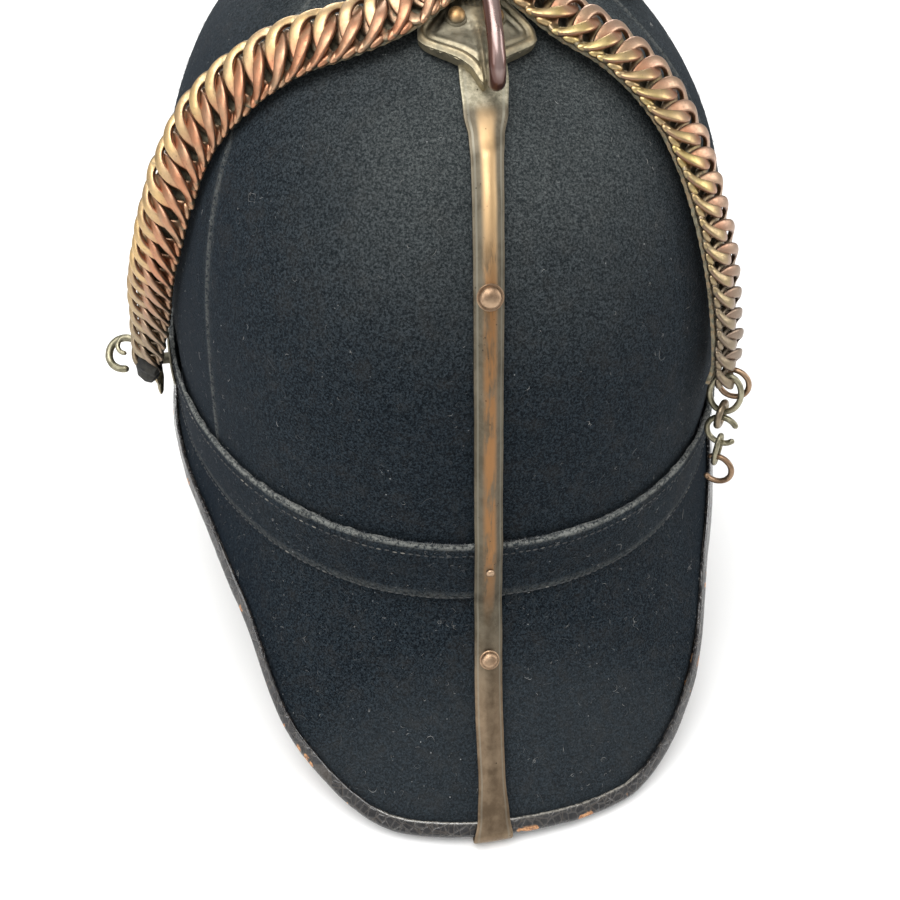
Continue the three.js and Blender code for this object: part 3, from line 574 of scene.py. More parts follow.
def lining_thread():
    f = Finish("stitching_thread", {"Roughness": 0.85, "Sheen Weight": 0.05})
    ply = f.noise(3000, 2, 0.5)
    age = f.own("odd")
    f.colour = f.mix(f.span(ply, 0.35, 0.65), (0.016, 0.018, 0.020), (0.050, 0.053, 0.054))
    f.lay(f.span(age, 0.85, 1.0, 0.0, 0.8), (0.17, 0.165, 0.145))
    f.emboss(ply, 0.08, 0.6)
    return f.done()


def wool_fibre():
    f = Finish("loose_wool_fibre", {"Roughness": 0.85, "Sheen Weight": 0.1})
    pick = f.own("odd")
    f.colour = f.mix(f.span(pick, 0.30, 0.75), (0.006, 0.008, 0.010), (0.050, 0.057, 0.062))
    f.lay(f.span(pick, 0.90, 0.99), (0.30, 0.30, 0.29))
    return f.done()


def patent_leather():
    f = Finish("crazed_patent_leather", {"Coat Weight": 0.7, "Coat Roughness": 0.12,
                                         "Specular IOR Level": 0.5})
    crazing = f.cells(420, "DISTANCE_TO_EDGE", stretch=(1, 1, 0.7))
    wide = f.cells(150, "DISTANCE_TO_EDGE")
    grain = f.noise(1100, 4, 0.65)
    chips = f.noise(95, 4)
    cracks = f.most(f.span(crazing, 0.06, 0.0), f.span(wide, 0.03, 0.0))
    f.colour = f.mix(f.span(grain, 0.35, 0.7), (0.006, 0.006, 0.007), (0.022, 0.021, 0.021))
    f.lay(f.times(cracks, 0.55), (0.075, 0.062, 0.05))
    bare = f.times(f.span(chips, 0.60, 0.62), f.span(f.own("worn"), 0.0, 0.25))
    f.lay(bare, f.mix(f.span(grain, 0.35, 0.65), (0.28, 0.115, 0.045), (0.52, 0.27, 0.12)))
    f.lay(f.times(f.own("cut"), f.span(grain, 0.3, 0.6)), (0.33, 0.31, 0.27))
    rough = f.plus(f.span(chips, 0.3, 0.8, 0.12, 0.5), f.times(bare, 0.5))
    f.emboss(f.span(crazing, 0.0, 0.12), 0.18, 0.8)
    f.emboss(f.span(chips, 0.56, 0.64, 1.0, 0.0), 0.16, 0.5)
    f.emboss(grain, 0.12, 0.4)
    return f.done(rough)


def bar_brass():
    f = Finish("worn_bar_metal", {"Metallic": 1.0})
    u, v = f.uv("X"), f.uv("Y")
    cloudy = f.noise(130, 5, 0.7)
    fine = f.noise(900, 4, 0.7)
    streak = f.noise(500, 4, 0.65, stretch=(1, 0.16, 0.16))
    # distance from the bar's middle line, round the section
    side = f.unsigned(f.span(v, 0.25, 0.75, -1.0, 1.0))
    # the worn middle line shows copper, and near the top it turns pale gold as a painted highlight where the
    # lamp reflects off the bar's curve
    centre = f.times(f.span(side, 0.78, 0.14), f.span(u, 0.046, 0.110, 0.0, 0.9))
    painted_top_highlight = f.span(u, 0.17, 0.26, 1.0, 0.0)
    patchy = f.times(f.span(streak, 0.36, 0.54, 0.15, 1.0), f.span(u, 0.70, 0.55))
    centre = f.times(centre, f.most(painted_top_highlight, patchy))
    f.colour = f.mix(f.span(cloudy, 0.35, 0.68), (0.088, 0.074, 0.052), (0.165, 0.142, 0.104))
    foot = f.mix(f.span(cloudy, 0.35, 0.68), (0.165, 0.116, 0.074), (0.280, 0.205, 0.135))
    f.lay(f.span(u, 0.66, 0.80, 0.0, 0.85), foot)
    # worn copper middle, lightened to pale gold near the top as a painted highlight
    f.lay(centre, f.mix(painted_top_highlight, (0.330, 0.170, 0.072), (0.560, 0.375, 0.195)))
    tab = f.mix(f.span(fine, 0.40, 0.62), (0.300, 0.280, 0.200), (0.480, 0.445, 0.335))
    f.lay(f.times(f.span(u, 0.075, 0.058), 0.7), tab)
    rim = f.unsigned(f.span(v, 0.0, 1.0, -0.5, 0.5))
    edge = f.times(f.span(rim, 0.275, 0.295), f.span(rim, 0.345, 0.330))
    f.lay(f.times(edge, 0.30), (0.30, 0.29, 0.24))
    dark = f.times(f.span(f.cells(900), 0.26, 0.12), f.span(f.noise(240), 0.55, 0.68))
    f.lay(f.times(dark, 0.7), (0.050, 0.036, 0.026))
    rough = f.plus(f.span(cloudy, 0.3, 0.7, 0.42, 0.58), f.times(dark, 0.3))
    f.emboss(streak, 0.07, 0.5)
    f.emboss(fine, 0.05, 0.6)
    return f.done(rough)


def tarnished(name, low, high, proud, rough=(0.34, 0.54), glow=0.8):
    f = Finish(name, {"Metallic": 1.0})
    cloudy = f.noise(150, 5, 0.7)
    fine = f.noise(900, 4, 0.7)
    f.colour = f.mix(f.span(cloudy, 0.35, 0.66), low, high)
    f.lay(f.times(f.own("proud"), f.span(cloudy, 0.36, 0.62, 0.25, glow)), proud)
    f.lay(f.own("amber"), (0.46, 0.27, 0.11))
    dark = f.times(f.span(f.cells(700), 0.28, 0.10), f.span(f.noise(300), 0.55, 0.68))
    grime = f.most(f.times(dark, 0.8), f.times(f.own("sunk"), 0.6))
    f.lay(grime, tuple(c * 0.25 for c in low))
    f.emboss(cloudy, 0.12, 0.5)
    f.emboss(fine, 0.08, 0.6)
    return f.done(f.span(fine, 0.3, 0.7, *rough))


def chain_copper():
    f = Finish("coppered_chain_metal", {"Metallic": 1.0})
    cloudy = f.noise(150, 4, 0.65)
    fine = f.noise(1300, 4, 0.7)
    dark, red, pink = (0.290, 0.155, 0.100), (0.470, 0.215, 0.120), (0.490, 0.320, 0.230)
    gold, olive = (0.620, 0.430, 0.205), (0.250, 0.225, 0.150)
    outer = f.own("outer")
    # gold outside and red inside on the one arm, the other way round on the other
    left = f.mix(f.span(outer, 0.45, 0.80), red, gold)
    right = f.mix(f.span(outer, 0.03, 0.30), (0.560, 0.430, 0.180),
                  f.mix(f.span(outer, 0.45, 0.85), red, pink))
    worn = f.mix(f.span(f.axis("X"), -0.012, 0.020), left, right)
    worn = f.mix(f.span(cloudy, 0.40, 0.66, 0.0, 0.55), worn, (0.48, 0.34, 0.21))
    f.colour = f.mix(f.span(f.own("gold"), 0.25, 0.75), dark, worn)
    f.lay(f.times(f.span(f.own("low"), 0.40, 0.95), 0.9), olive)
    patina = f.times(f.span(f.noise(420, 4, 0.7), 0.48, 0.64), f.span(f.own("low"), 0.0, 0.9, 0.2, 0.9))
    f.lay(patina, (0.190, 0.180, 0.125))
    f.lay(f.span(fine, 0.60, 0.72, 0.0, 0.6), (0.050, 0.028, 0.018))
    f.lay(f.span(f.own("odd"), 0.50, 1.0, 0.0, 0.40), (0.37, 0.25, 0.165))
    # both hanging ends are duller
    for side, high, low, share, dull in ((-0.02, 0.140, 0.100, 0.78, (0.270, 0.225, 0.165)),
                                         (0.02, 0.180, 0.125, 0.85, (0.205, 0.168, 0.132))):
        f.lay(f.times(f.span(f.axis("X"), 0.0, side), f.span(f.axis("Z"), high, low, 0.0, share)), dull)
    f.lay(f.times(f.own("black"), 0.9), (0.012, 0.011, 0.010))
    rough = f.plus(f.span(fine, 0.3, 0.7, 0.33, 0.50), f.times(patina, 0.3))
    f.emboss(cloudy, 0.10, 0.5)
    f.emboss(fine, 0.05, 0.6)
    return f.done(rough)


def rod_lacquer():
    f = Finish("brown_lacquered_rod", {"Metallic": 0.7, "Coat Weight": 0.7, "Coat Roughness": 0.10})
    cloudy = f.noise(110, 4)
    low = f.span(f.axis("Y"), -0.070, -0.081)
    # painted highlight and shade: pale grey-pink along the crest that faces the lamps, near-black on the
    # flanks
    f.colour = f.mix(f.span(f.own("painted_crest_highlight"), 0.15, 0.95), (0.012, 0.009, 0.009), (0.530, 0.470, 0.455))
    f.lay(f.span(f.noise(420, 4, 0.7), 0.58, 0.70, 0.0, 0.5), (0.17, 0.090, 0.045))
    f.lay(f.times(low, 0.70), (0.130, 0.045, 0.028))
    f.emboss(f.noise(700), 0.04, 0.4)
    return f.done(f.span(cloudy, 0.3, 0.7, 0.20, 0.34))


def chain_backing():
    f = Finish("worn_chain_backing", {"Specular IOR Level": 0.3})
    grain = f.noise(1500, 4, 0.7)
    patch = f.noise(330, 4, 0.7)
    f.colour = f.mix(f.span(patch, 0.35, 0.65), (0.085, 0.080, 0.055), (0.270, 0.245, 0.170))
    f.lay(f.times(f.own("cut"), f.span(f.noise(520, 4, 0.7), 0.46, 0.60)), (0.30, 0.215, 0.125))
    f.lay(f.span(f.noise(250), 0.58, 0.70, 0.0, 0.7), (0.030, 0.032, 0.026))
    f.lay(f.times(f.own("black"), 0.92), (0.008, 0.008, 0.009))
    f.emboss(grain, 0.15, 0.6)
    f.emboss(patch, 0.3, 0.6)
    return f.done(f.span(grain, 0.3, 0.7, 0.55, 0.85))


def pale_floor():
    look = {"Base Color": (0.86, 0.86, 0.855, 1), "Roughness": 0.7, "Specular IOR Level": 0.2}
    return Finish("pale_floor", look).done()


finishes = {
    "navy_cloth": helmet_cloth(), "inner": inner_cloth(), "thread": lining_thread(), "fibre": wool_fibre(),
    "patent_edge": patent_leather(), "bar_metal": bar_brass(), "chain_metal": chain_copper(),
    "rod_metal": rod_lacquer(), "chain_lining": chain_backing(),
    "edge_metal": tarnished("dull_edge_metal", (0.16, 0.14, 0.10), (0.33, 0.29, 0.21), (0.50, 0.43, 0.29)),
    "fitting_metal": tarnished("worn_fitting_metal", (0.20, 0.185, 0.135), (0.33, 0.30, 0.225),
                               (0.43, 0.335, 0.19), (0.44, 0.62)),
    "stud_metal": tarnished("stud_brass", (0.20, 0.125, 0.075), (0.36, 0.245, 0.16), (0.50, 0.35, 0.23)),
    "ring_metal": tarnished("grey_ring_metal", (0.16, 0.15, 0.10), (0.34, 0.32, 0.23), (0.45, 0.38, 0.25)),
}


def dress(piece, slot, *nodes, finish=None, inner=False, angle=40):
    piece.data.materials.clear()
    piece.data.materials.append(finishes[finish or slot])
    if inner:
        piece.data.materials.append(finishes["inner"])
    smooth(piece, angle)
    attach(piece, "root")
    if nodes:
        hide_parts(*nodes)
    return piece


# ---- cloth body
def turn_of(p):
    return degrees(atan2(p[0] / HALF_WIDTH, -p[1] / (REAR if p[1] < 0 else FRONT)))


def uneven(piece, depth, size, where=None):
    spots, out = points_of(piece), normals_of(piece)
    lumps = np.array([noise.noise(Vector(p) / (size * MM)) for p in spots])
    if where is not None:
        lumps = lumps * where
    set_points(piece, spots + out * (lumps * depth * MM)[:, None])


# faces that look inwards or down take the inner cloth
def face_inside(piece, inside):
    for face in piece.data.polygons:
        face.material_index = 1 if inside(face.center, face.normal) else 0


SEAM_TURNS = (51.6, -51.6)


def make_crown():
    crown = rounded(copy_of("crown", "crown_shell"), 2)
    middle = Vector((0, SEAM_Y * MM, 0))
    for turn in SEAM_TURNS:
        across = Vector((cos(radians(turn)), sin(radians(turn)), 0))
        for off in (-1.5, -0.7, -0.35, 0, 0.35, 0.7, 1.5):
            open_up(crown)
            bpy.ops.mesh.bisect(plane_co=middle + across * off * MM, plane_no=across)
            shut()
    uneven(crown, 0.5, 34)
    spots, out = points_of(crown), normals_of(crown)
    outer = ((spots - HEART) * out).sum(1) > 0
    above = np.clip((spots[:, 2] - 0.0825) / 0.004, 0, 1)
    raised, worn = np.zeros(len(spots)), np.zeros(len(spots))
    for turn in SEAM_TURNS:
        across = np.array((cos(radians(turn)), sin(radians(turn)), 0))
        apart = np.abs((spots - np.array(middle)) @ across) / MM
        raised += 0.40 * hill(apart, 0.42) - 0.16 * hill(apart - 1.1, 0.5)
        worn += 0.34 * hill(apart, 1.05)
    set_points(crown, spots + out * (raised * outer * above * MM)[:, None])
    mark(crown, "worn", np.clip(worn, 0, 1) * outer)
    dress(crown, "navy_cloth", "crown", inner=True, angle=60)
    face_inside(crown, lambda c, n: (c - Vector(HEART)).dot(n) < 0)
    return crown


def make_band():
    band = rounded(copy_of("band", "cloth_band"), 2)
    spots = points_of(band) / MM
    below = np.array([BAND_TOP + lift(turn_of(p)) for p in spots]) - spots[:, 2]
    ridge = np.clip(1.3 - (below - 0.1) / 1.3, 0, 1)
    uneven(band, 0.55, 2.2, ridge)
    uneven(band, 0.35, 16)
    mark(band, "worn", np.clip(ridge * 0.95 + 0.22 * (np.abs(below - STITCH_ROWS[1][0]) < 0.9), 0, 1))
    return dress(band, "navy_cloth", "band", angle=60)


def make_peak(node, name):
    peak = rounded(copy_of(node, name), 2)
    uneven(peak, 0.5, 22)
    dress(peak, "navy_cloth", node, inner=True, angle=60)
    face_inside(peak, lambda c, n: n.z < -0.15)
    return peak


# depth of each row below the band's top edge and the pitch of its stitches
STITCH_ROWS = ((3.7, 2.05), (19.6, 2.15))


# one stitch, set out in two rows round the band
def make_band_stitching():
    stitch, base = pebble("stitch", (0.72, 0.24, 0.17), [2, 0, 1], 6, 4)
    set_points(stitch, base * MM)
    dice = random.Random(3)
    frames = []
    for depth, pitch in STITCH_ROWS:
        turn = 0.0
        while turn < 360:
            top = BAND_TOP + lift(turn)
            here, on = plan(turn), plan(turn + 0.2)
            here.z, on.z = top - depth, BAND_TOP + lift(turn + 0.2) - depth
            out = outward(turn)
            along = on - here
            step = along.length / 0.2
            along.normalize()
            along = (along + Vector((0, 0, dice.uniform(-0.12, 0.12)))).normalized()
            up = out.cross(along).normalized()
            size = dice.uniform(0.85, 1.15)
            spot = here + out * (GAP + BAND_THICK + 0.06) + up * dice.uniform(-0.12, 0.12)
            frames.append((spot * MM, (along * size, up * size, out * size)))
            turn += pitch * dice.uniform(0.92, 1.08) / step
    piece = set_out("band_stitching", stitch, frames)
    return dress(piece, "navy_cloth", finish="thread")


# ---- edge bindings
def strip_section(points, v):
    sides = np.array(points + points[:1], float)
    lengths = np.concatenate(([0], np.cumsum(np.linalg.norm(np.diff(sides, axis=0), axis=1))))
    return [float(np.interp(v * lengths[-1], lengths, sides[:, i])) for i in (0, 1)]


def make_binding(node, name, slot, rows, middle, flange, thick):
    clear = edge = GAP + 0.15
    section = [(-flange, clear), (edge, clear), (edge, -PEAK_WALL - clear), (-flange, -PEAK_WALL - clear),
               (-flange, -PEAK_WALL - clear - thick), (edge + thick * 0.5, -PEAK_WALL - clear - thick),
               (edge + thick, -PEAK_WALL - clear), (edge + thick * 1.25, -PEAK_WALL / 2),
               (edge + thick, clear), (edge + thick * 0.5, clear + thick), (-flange, clear + thick)]
    steps, sides = 220, 40

    def spot(u, v):
        u = capped(u, steps)
        turn = -89.9 + 179.8 * u
        p, n, down = on_peak(rows, middle, turn, 1)
        along, up = strip_section(section, v)
        if along < 0:
            along *= 1 - 0.5 * clamp((abs(turn) - 48) / 22)
        fat = lump(u * 60, v * 5, 1.5 * thick) * 0.13 + lump(u * 220, v * 9, 4) * 0.06
        if up > clear + 0.3 * thick:
            up += fat
        if along > edge + 0.3 * thick:
            along += fat
        if along < -flange + 0.05:
            along += lump(u * 130, 0, 9) * 0.25
        return (p + down * along + n * up) * MM
    piece = rolled(name, steps, sides, spot)
    rims = [on_peak(rows, middle, turn, 1) for turn in np.linspace(-90, 90, 721)]
    tree = tree_of([rim[0] for rim in rims])
    cut, worn = [], []
    for q in points_of(piece) / MM:
        p, n, down = rims[tree.find(q)[1]]
        d = Vector(q) - p
        along, up = d.dot(down), d.dot(n)
        cut.append(clamp((-flange + 0.45 - along) / 0.3) if up > 0 else 0)
        worn.append(clamp((along + 0.3) / 1.2) + clamp((-up - 0.3) / 1.2))
    mark(piece, "cut", cut)
    mark(piece, "worn", np.clip(worn, 0, 1))
    mark(piece, "proud", np.clip(worn, 0, 1))
    return dress(piece, slot, node, angle=50)


# ---- bar down the back
# kind and place, lift, reach past the rim, sideways, width and height of each station;
# a place is a level on the crown, a depth on the band or a drop down the peak
BAR_RUN = [("level", 0.866, -0.28, 0, -1.4, 11.5, 0.6), ("level", 0.838, 0, 0, -1.8, 11.5, 0.9),
           ("level", 0.795, 0, 0, -2.6, 10.5, 0.9), ("level", 0.765, 0, 0, -3.1, 8.4, 1.5),
           ("level", 0.735, 0, 0, -3.6, 7.7, 2.3), ("level", 0.68, 0, 0, -4.3, 7.5, 2.6),
           ("level", 0.58, 0, 0, -5.2, 7.4, 2.6), ("level", 0.46, 0, 0, -5.75, 7.3, 2.6),
           ("level", 0.32, 0, 0, -5.8, 7.3, 2.6), ("level", 0.18, 0, 0, -5.4, 7.5, 2.5),
           ("level", 0.08, 0.7, 0, -5.1, 7.6, 2.5), ("band", -2.5, 0.2, 0, -5.0, 7.7, 2.5),
           ("band", 3, 0.1, 0, -4.85, 7.7, 2.5), ("band", 14, 0, 0, -4.5, 7.8, 2.4),
           ("band", 20, 0, 0, -4.35, 7.9, 2.4), ("drop", 0.10, 2.2, 0, -4.4, 7.9, 2.4),
           ("drop", 0.25, 1.6, 0, -5.0, 8.0, 2.4), ("drop", 0.5, 1.6, 0, -6.2, 8.0, 2.4),
           ("drop", 0.78, 1.75, 0, -7.2, 7.8, 2.3), ("drop", 0.93, 1.75, 0, -7.8, 9.2, 1.7),
           ("drop", 1.0, 2.05, 1.0, -8.4, 11.2, 1.2)]
# the foot's stations round the rim: beyond it, above it, width and height
BAR_FOOT = [(2.17, 0.2, 11.1, 1.1), (2.07, -3.7, 10.4, 1.0), (1.27, -4.84, 8.0, 0.8),
            (-2.2, -5.02, 6.8, 0.65)]
BAR_SECTION = [(0, 0), (0.30, 0), (0.5, 0), (0.505, 0.08), (0.503, 0.17), (0.495, 0.21), (0.48, 0.22),
               (0.44, 0.29), (0.38, 0.43), (0.31, 0.60), (0.235, 0.77), (0.16, 0.90), (0.08, 0.975), (0, 1.0)]
BAR_SECTION = BAR_SECTION + [(-x, y) for x, y in BAR_SECTION[-2:0:-1]]
BAR_CLEAR = 0.62


def bar_spot(kind, place, off, beyond, x):
    if kind == "level":
        p, n = on_crown(degrees(atan2(x, REAR)), place, BAR_CLEAR + off)
        return Vector((x, p.y, p.z)), Vector((0, n.y, n.z)).normalized()
    if kind == "band":
        return Vector((x, -REAR - GAP - BAND_THICK - BAR_CLEAR - off, BAND_TOP - place)), Vector((0, -1, 0))
    p, n, down = on_peak(BACK_RIM, 0, 0, place)
    q = p + n * off + down * beyond
    return Vector((x, q.y, q.z)), Vector((0, n.y, n.z)).normalized()


def make_bar():
    stations = []
    for kind, place, off, beyond, x, wide, high in BAR_RUN:
        p, n = bar_spot(kind, place, off, beyond, x)
        stations.append((p, n, wide, high))
    p, n, down = on_peak(BACK_RIM, 0, -3.9, 1)
    for i, (along, up, wide, high) in enumerate(BAR_FOOT):
        q = p + down * along + n * up
        face = (down, down, down - n, -n)[i]
        stations.append((Vector((-8.4, q.y, q.z)), Vector((0, face.y, face.z)).normalized(), wide, high))
    road, steps = Road([s[0] for s in stations]), 170
    step = sum((stations[i + 1][0] - stations[i][0]).length for i in (0, 1)) + 0.3

    def spot(u, v):
        u = capped(u, steps)
        where = road.time_of(u) * (len(stations) - 1)
        i = min(int(where), len(stations) - 2)
        w = where - i
        w2 = ease(w)
        n = stations[i][1].lerp(stations[i + 1][1], w2).normalized()
        wide = stations[i][2] * (1 - w2) + stations[i + 1][2] * w2
        high = stations[i][3] * (1 - w2) + stations[i + 1][3] * w2
        x, y = strip_section(BAR_SECTION, v)
        wave = lump(u * 40, v * 3, 2) * 0.07
        swell = clamp((high - 0.9) / 1.3)
        flat = min(y / 0.22, 1) * min(0.62, high)
        up = flat + (y * high - flat) * swell
        if y > 0.05:
            up += wave * min(high, 1) + 0.20 * hill(u * road.length - step - 6 * (0.25 - x * x), 0.5)
        return (Vector((x * wide * (1 + wave * 0.25), 0, 0)) + n * up + road.at(u)) * MM
    piece = rolled("back_bar_strip", steps, 72, spot)
    return dress(piece, "bar_metal", "back_bar", angle=35)


# node, its place as on the bar, rows of radius and height
STUDS = [
    ("upper_stud", ("level", 0.54, 2.35, 0, -5.6),
     [(0, 0), (3.15, 0), (3.25, 0.2), (3.05, 0.42), (2.75, 0.42), (2.7, 0.6), (2.45, 1.15), (1.9, 1.6),
      (1.1, 1.9), (0, 2.0)]),
    ("bar_pin", ("band", 5.4, 2.5, 0, -4.8), [(0, 0), (1.15, 0), (1.1, 0.3), (0.8, 0.55), (0, 0.65)]),
    ("lower_stud", ("drop", 0.28, 4.05, 0, -5.3),
     [(0, 0), (2.75, 0), (2.85, 0.2), (2.65, 0.4), (2.4, 0.42), (2.3, 0.8), (1.8, 1.3), (1.0, 1.6),
      (0, 1.7)]),
]


def make_stud(node, place, rows):
    p, n = bar_spot(*place)
    piece = placed(turned(node + "_head", rows, 40), p + n * GAP, n)
    proud = np.clip(((points_of(piece) - np.array(p) * MM) @ np.array(n)) / (rows[-1][1] * MM), 0, 1)
    mark(piece, "proud", proud)
    return dress(piece, "stud_metal", node, angle=45)


# ---- four-armed base
# along the arm from the spike's axis, half width
ARM_SHAPE = [(8, 9.3), (15, 7.6), (22, 6.6), (29, 6.8), (33.5, 8.2), (37, 10.4), (40, 12.6), (42.5, 13.75),
             (44.5, 13.8), (46.5, 12.7), (48.6, 9.7), (50.0, 7.0), (51.0, 5.2), (52.0, 3.8), (53.2, 2.6),
             (54.5, 1.8), (55.6, 1.2), (56.3, 0.7), (56.7, 0.12)]
ARM_RISE = [(8, 0), (39, 0), (43.2, 0.1), (46.8, 0.9), (50, 1.6), (52, 1.75), (54.5, 1.8), (57, 1.85)]
LEAF_SHAPE = [(10, 0.5), (15, 3.0), (22, 2.6), (28, 3.2), (33, 4.8), (36, 5.2), (39, 3.6), (42, 1.9),
              (46, 1.0), (52, 0.7), (56.2, 0.35)]
ARM_BEADS = [(40.2, -4.5, 2.05), (40.2, 4.5, 2.05), (31, 0, 1.5)]
ARM_REACH = {-90: 1, 0: 0.9, 90: 1, 180: 0.9}
SEAT = over_crown(CROSS_X, CROSS_Y, 0)[0].z + DOME_LIFT
DOME_TOP = 16.5


# a round bead in its collar, with amber on its crown
def make_bead(along, side, radius):
    rows = [(radius * k, z) for k, z in ((1.28, 0), (1.30, 0.5), (1.18, 0.85), (1.02, 0.8), (1, 1.0))]
    rows += [(radius * cos(a), 1.0 + radius * 0.85 * sin(a)) for a in (0.4, 0.8, 1.15, 1.4)]
    rows += [(0, 1.0 + radius * 0.85)]
    bead = turned("bead", rows, 28)
    spots = points_of(bead)
    mark(bead, "proud", np.clip(spots[:, 2] / (2.4 * MM) - 0.3, 0, 1))
    mark(bead, "amber", np.clip(spots[:, 2] / (1.6 * MM) - 0.5, 0, 0.8))
    from_foot = np.abs(np.hypot(spots[:, 0], spots[:, 1]) / MM - radius * 1.1)
    mark(bead, "sunk", np.clip(1 - from_foot / 0.4, 0, 1) * (spots[:, 2] < 1.1 * MM))
    set_points(bead, spots + np.array((along, side, 2 * GAP + 1.55 + read(ARM_RISE, 1, along))) * MM)
    return bead


def make_arm():
    steps, sides = 140, 64
    arm = begin("arm", "grid", x_subdivisions=steps, y_subdivisions=sides, size=1)
    start, end = ARM_SHAPE[0][0], ARM_SHAPE[-1][0]
    alongs = np.linspace(start, end, 241)
    halves = np.array([read(ARM_SHAPE, 1, a) for a in alongs])
    outline = np.concatenate((np.stack((alongs, halves), 1), np.stack((alongs, -halves), 1)))
    spots, proud, sunk = [], [], []
    for u, v, _ in points_of(arm) + 0.5:
        i, j = round(u * steps), round(v * sides)
        along = start + (end - start) * min(i / (steps - 1), 1) ** 0.8
        half = read(ARM_SHAPE, 1, along)
        t = clamp((j - 1) / (sides - 2) * 2 - 1, -1)
        side = half * sin(t * pi / 2)
        skirt = j in (0, sides) or i == steps
        d = float(np.min(np.hypot(outline[:, 0] - along, outline[:, 1] - side)))
        tip = min(1, half / 4.0)
        # a fat rolled rim, a groove, a thin bead line and a gently crowned field inside it
        rim = hill(d - 1.1, 0.95)
        line = 0.35 * hill(d - 2.8, 0.5)
        inside = clamp((d - 2.2) / 1.0)
        field = inside * (0.62 + 0.05 * min(d, 8))
        height = 0.2 + tip * (1.15 * rim + 0.62 * line + field) + (1 - tip) * 0.95
        groove = 0.35 * tip * hill(d - 2.1, 0.25)
        pit = 0.0
        if along > 30:
            pit = hill(d - 3.9, 0.8) * hill(along - 40.5, 3.6) * clamp((abs(side) - 4.5) / 2)
        height -= 0.75 * pit
        leaf = read(LEAF_SHAPE, 1, along) if along > 10 else 0.0
        shine = 0.0
        if leaf > 0.2 and abs(side) < leaf:
            f = side / leaf
            swell = sqrt(max(1 - f * f, 0))
            ribs = 0.5 + 0.5 * cos(f * pi * (7 if along < 38 else 1))
            height += swell * (0.75 + 0.35 * ribs)
            shine = swell * ribs * 0.6
            groove = max(groove, (1 - ribs) * 0.5 * swell)
        elif leaf > 0.2 and along < 46:
            groove = max(groove, 0.7 * hill(abs(side) - leaf, 0.25))
        if d > 3.2:
            height += 0.09 * lump(along * 0.8, side * 0.8, 3)
        off = GAP + 1.05 + height + read(ARM_RISE, 1, along)
        if skirt:
            off = 2 * GAP + 0.12
        spots.append((along * MM, side * MM, off * MM))
        proud.append(min(1, tip * rim * 0.9 + tip * line + shine + (1 - tip) * 0.8))
        sunk.append(min(1, groove + pit * 0.9))
    set_points(arm, spots)
    mark(arm, "proud", proud)
    mark(arm, "sunk", sunk)
    modify(arm, "SOLIDIFY", thickness=0.45 * MM, offset=-1)
    return joined("arm", [arm] + [make_bead(*row) for row in ARM_BEADS])


def make_cross_base():
    arm = make_arm()
    arms = []
    for heading, reach in ARM_REACH.items():
        laid = stand("arm", arm.data.copy())
        flat = points_of(laid) / MM
        set_points(laid, [on_arm(heading, along * reach, side, off)[0] * MM for along, side, off in flat])
        arms.append(laid)
    bpy.data.objects.remove(arm)
    rows = [(22.6, 0.6), (22.9, 1.4), (22.3, 2.2), (21.2, 2.4), (20.8, 3.0), (21.0, 3.9), (20.2, 4.7),
            (18.6, 5.0), (17.6, 5.0), (16.4, 6.1), (15.0, 6.9), (13.8, 8.2), (12.8, 10.0), (12.2, 11.8),
            (12.1, 13.0), (12.9, 13.5), (13.5, 14.3), (13.5, 15.6), (13.0, 16.3), (12.0, DOME_TOP),
            (0, DOME_TOP)]
    dome = turned("dome", rows, 96)
    spots = points_of(dome) / MM
    low = np.clip((3.2 - spots[:, 2]) / 1.2, 0, 1)
    for i, (x, y, z) in enumerate(spots):
        drape = over_crown(x + CROSS_X, y + CROSS_Y, 0)[0].z + 0.5 + z
        spots[i, 2] = (1 - low[i]) * (SEAT + z) + low[i] * drape
        # sixteen shallow flutes round the neck
        if 6 < z < 13:
            spots[i, :2] *= 1 + 0.035 * cos(atan2(y, x) * 16)
    spots += np.array((CROSS_X, CROSS_Y, 0))
    set_points(dome, spots * MM)
    rounded(dome, 1)
    bead = begin("beading", "uv_sphere", segments=12, ring_count=8, radius=1.15 * MM)
    count, radius = 52, 19.3
    frames = []
    for i in range(count):
        a = 2 * pi * i / count
        spot = np.array((CROSS_X + radius * cos(a), CROSS_Y + radius * sin(a), SEAT + 5.1)) * MM
        frames.append((spot, np.eye(3)))
    beading = set_out("beading_ring", bead, frames)
    mark(beading, "proud", 0.8)
    base = joined("cross_base_casting", arms + [dome, beading])
    return dress(base, "fitting_metal", "cross_base", angle=50)


def make_spike():
    seat = SEAT + DOME_TOP + GAP
    rows = [(0, 0), (12.2, 0), (12.9, 0.4), (13.1, 1.3), (12.8, 2.2), (12.0, 2.7), (10.6, 3.3), (9.6, 4.2),
            (9.2, 5.0), (9.6, 5.7), (9.9, 6.4), (9.5, 7.2), (8.5, 7.8), (7.6, 8.6), (7.9, 9.2), (7.4, 9.9),
            (6.3, 10.4), (5.9, 12), (5.5, 16), (5.2, 22), (4.5, 31), (3.5, 42), (2.4, 52), (1.5, 59),
            (0.9, 61.4), (0, 62)]
    spike = turned("spike_turning", rows, 64)
    spots = points_of(spike) + np.array((CROSS_X, CROSS_Y, seat)) * MM
    set_points(spike, spots)
    rounded(spike, 1)
    heights = points_of(spike)[:, 2] / MM - seat
    mark(spike, "proud", np.max([hill(heights - ring, 0.9) for ring in (1.3, 6.3, 9.3)], axis=0))
    return dress(spike, "fitting_metal", "spike", angle=45)


# ---- hook, chain and backing
# station along the back, height above the crown there and sideways place of the rod
HOOK_RUN = [(-82.0, 4.5, -0.3), (-82.4, 6.7, -0.35), (-81.4, 9.9, -0.6), (-77.8, 12.3, -0.65),
            (-69, 13.7, -0.4), (-59, 14.3, -0.2), (-51, 15.1, 0.1), (-45, 15.8, 0.4), (-35.1, 16.8, 0.8)]


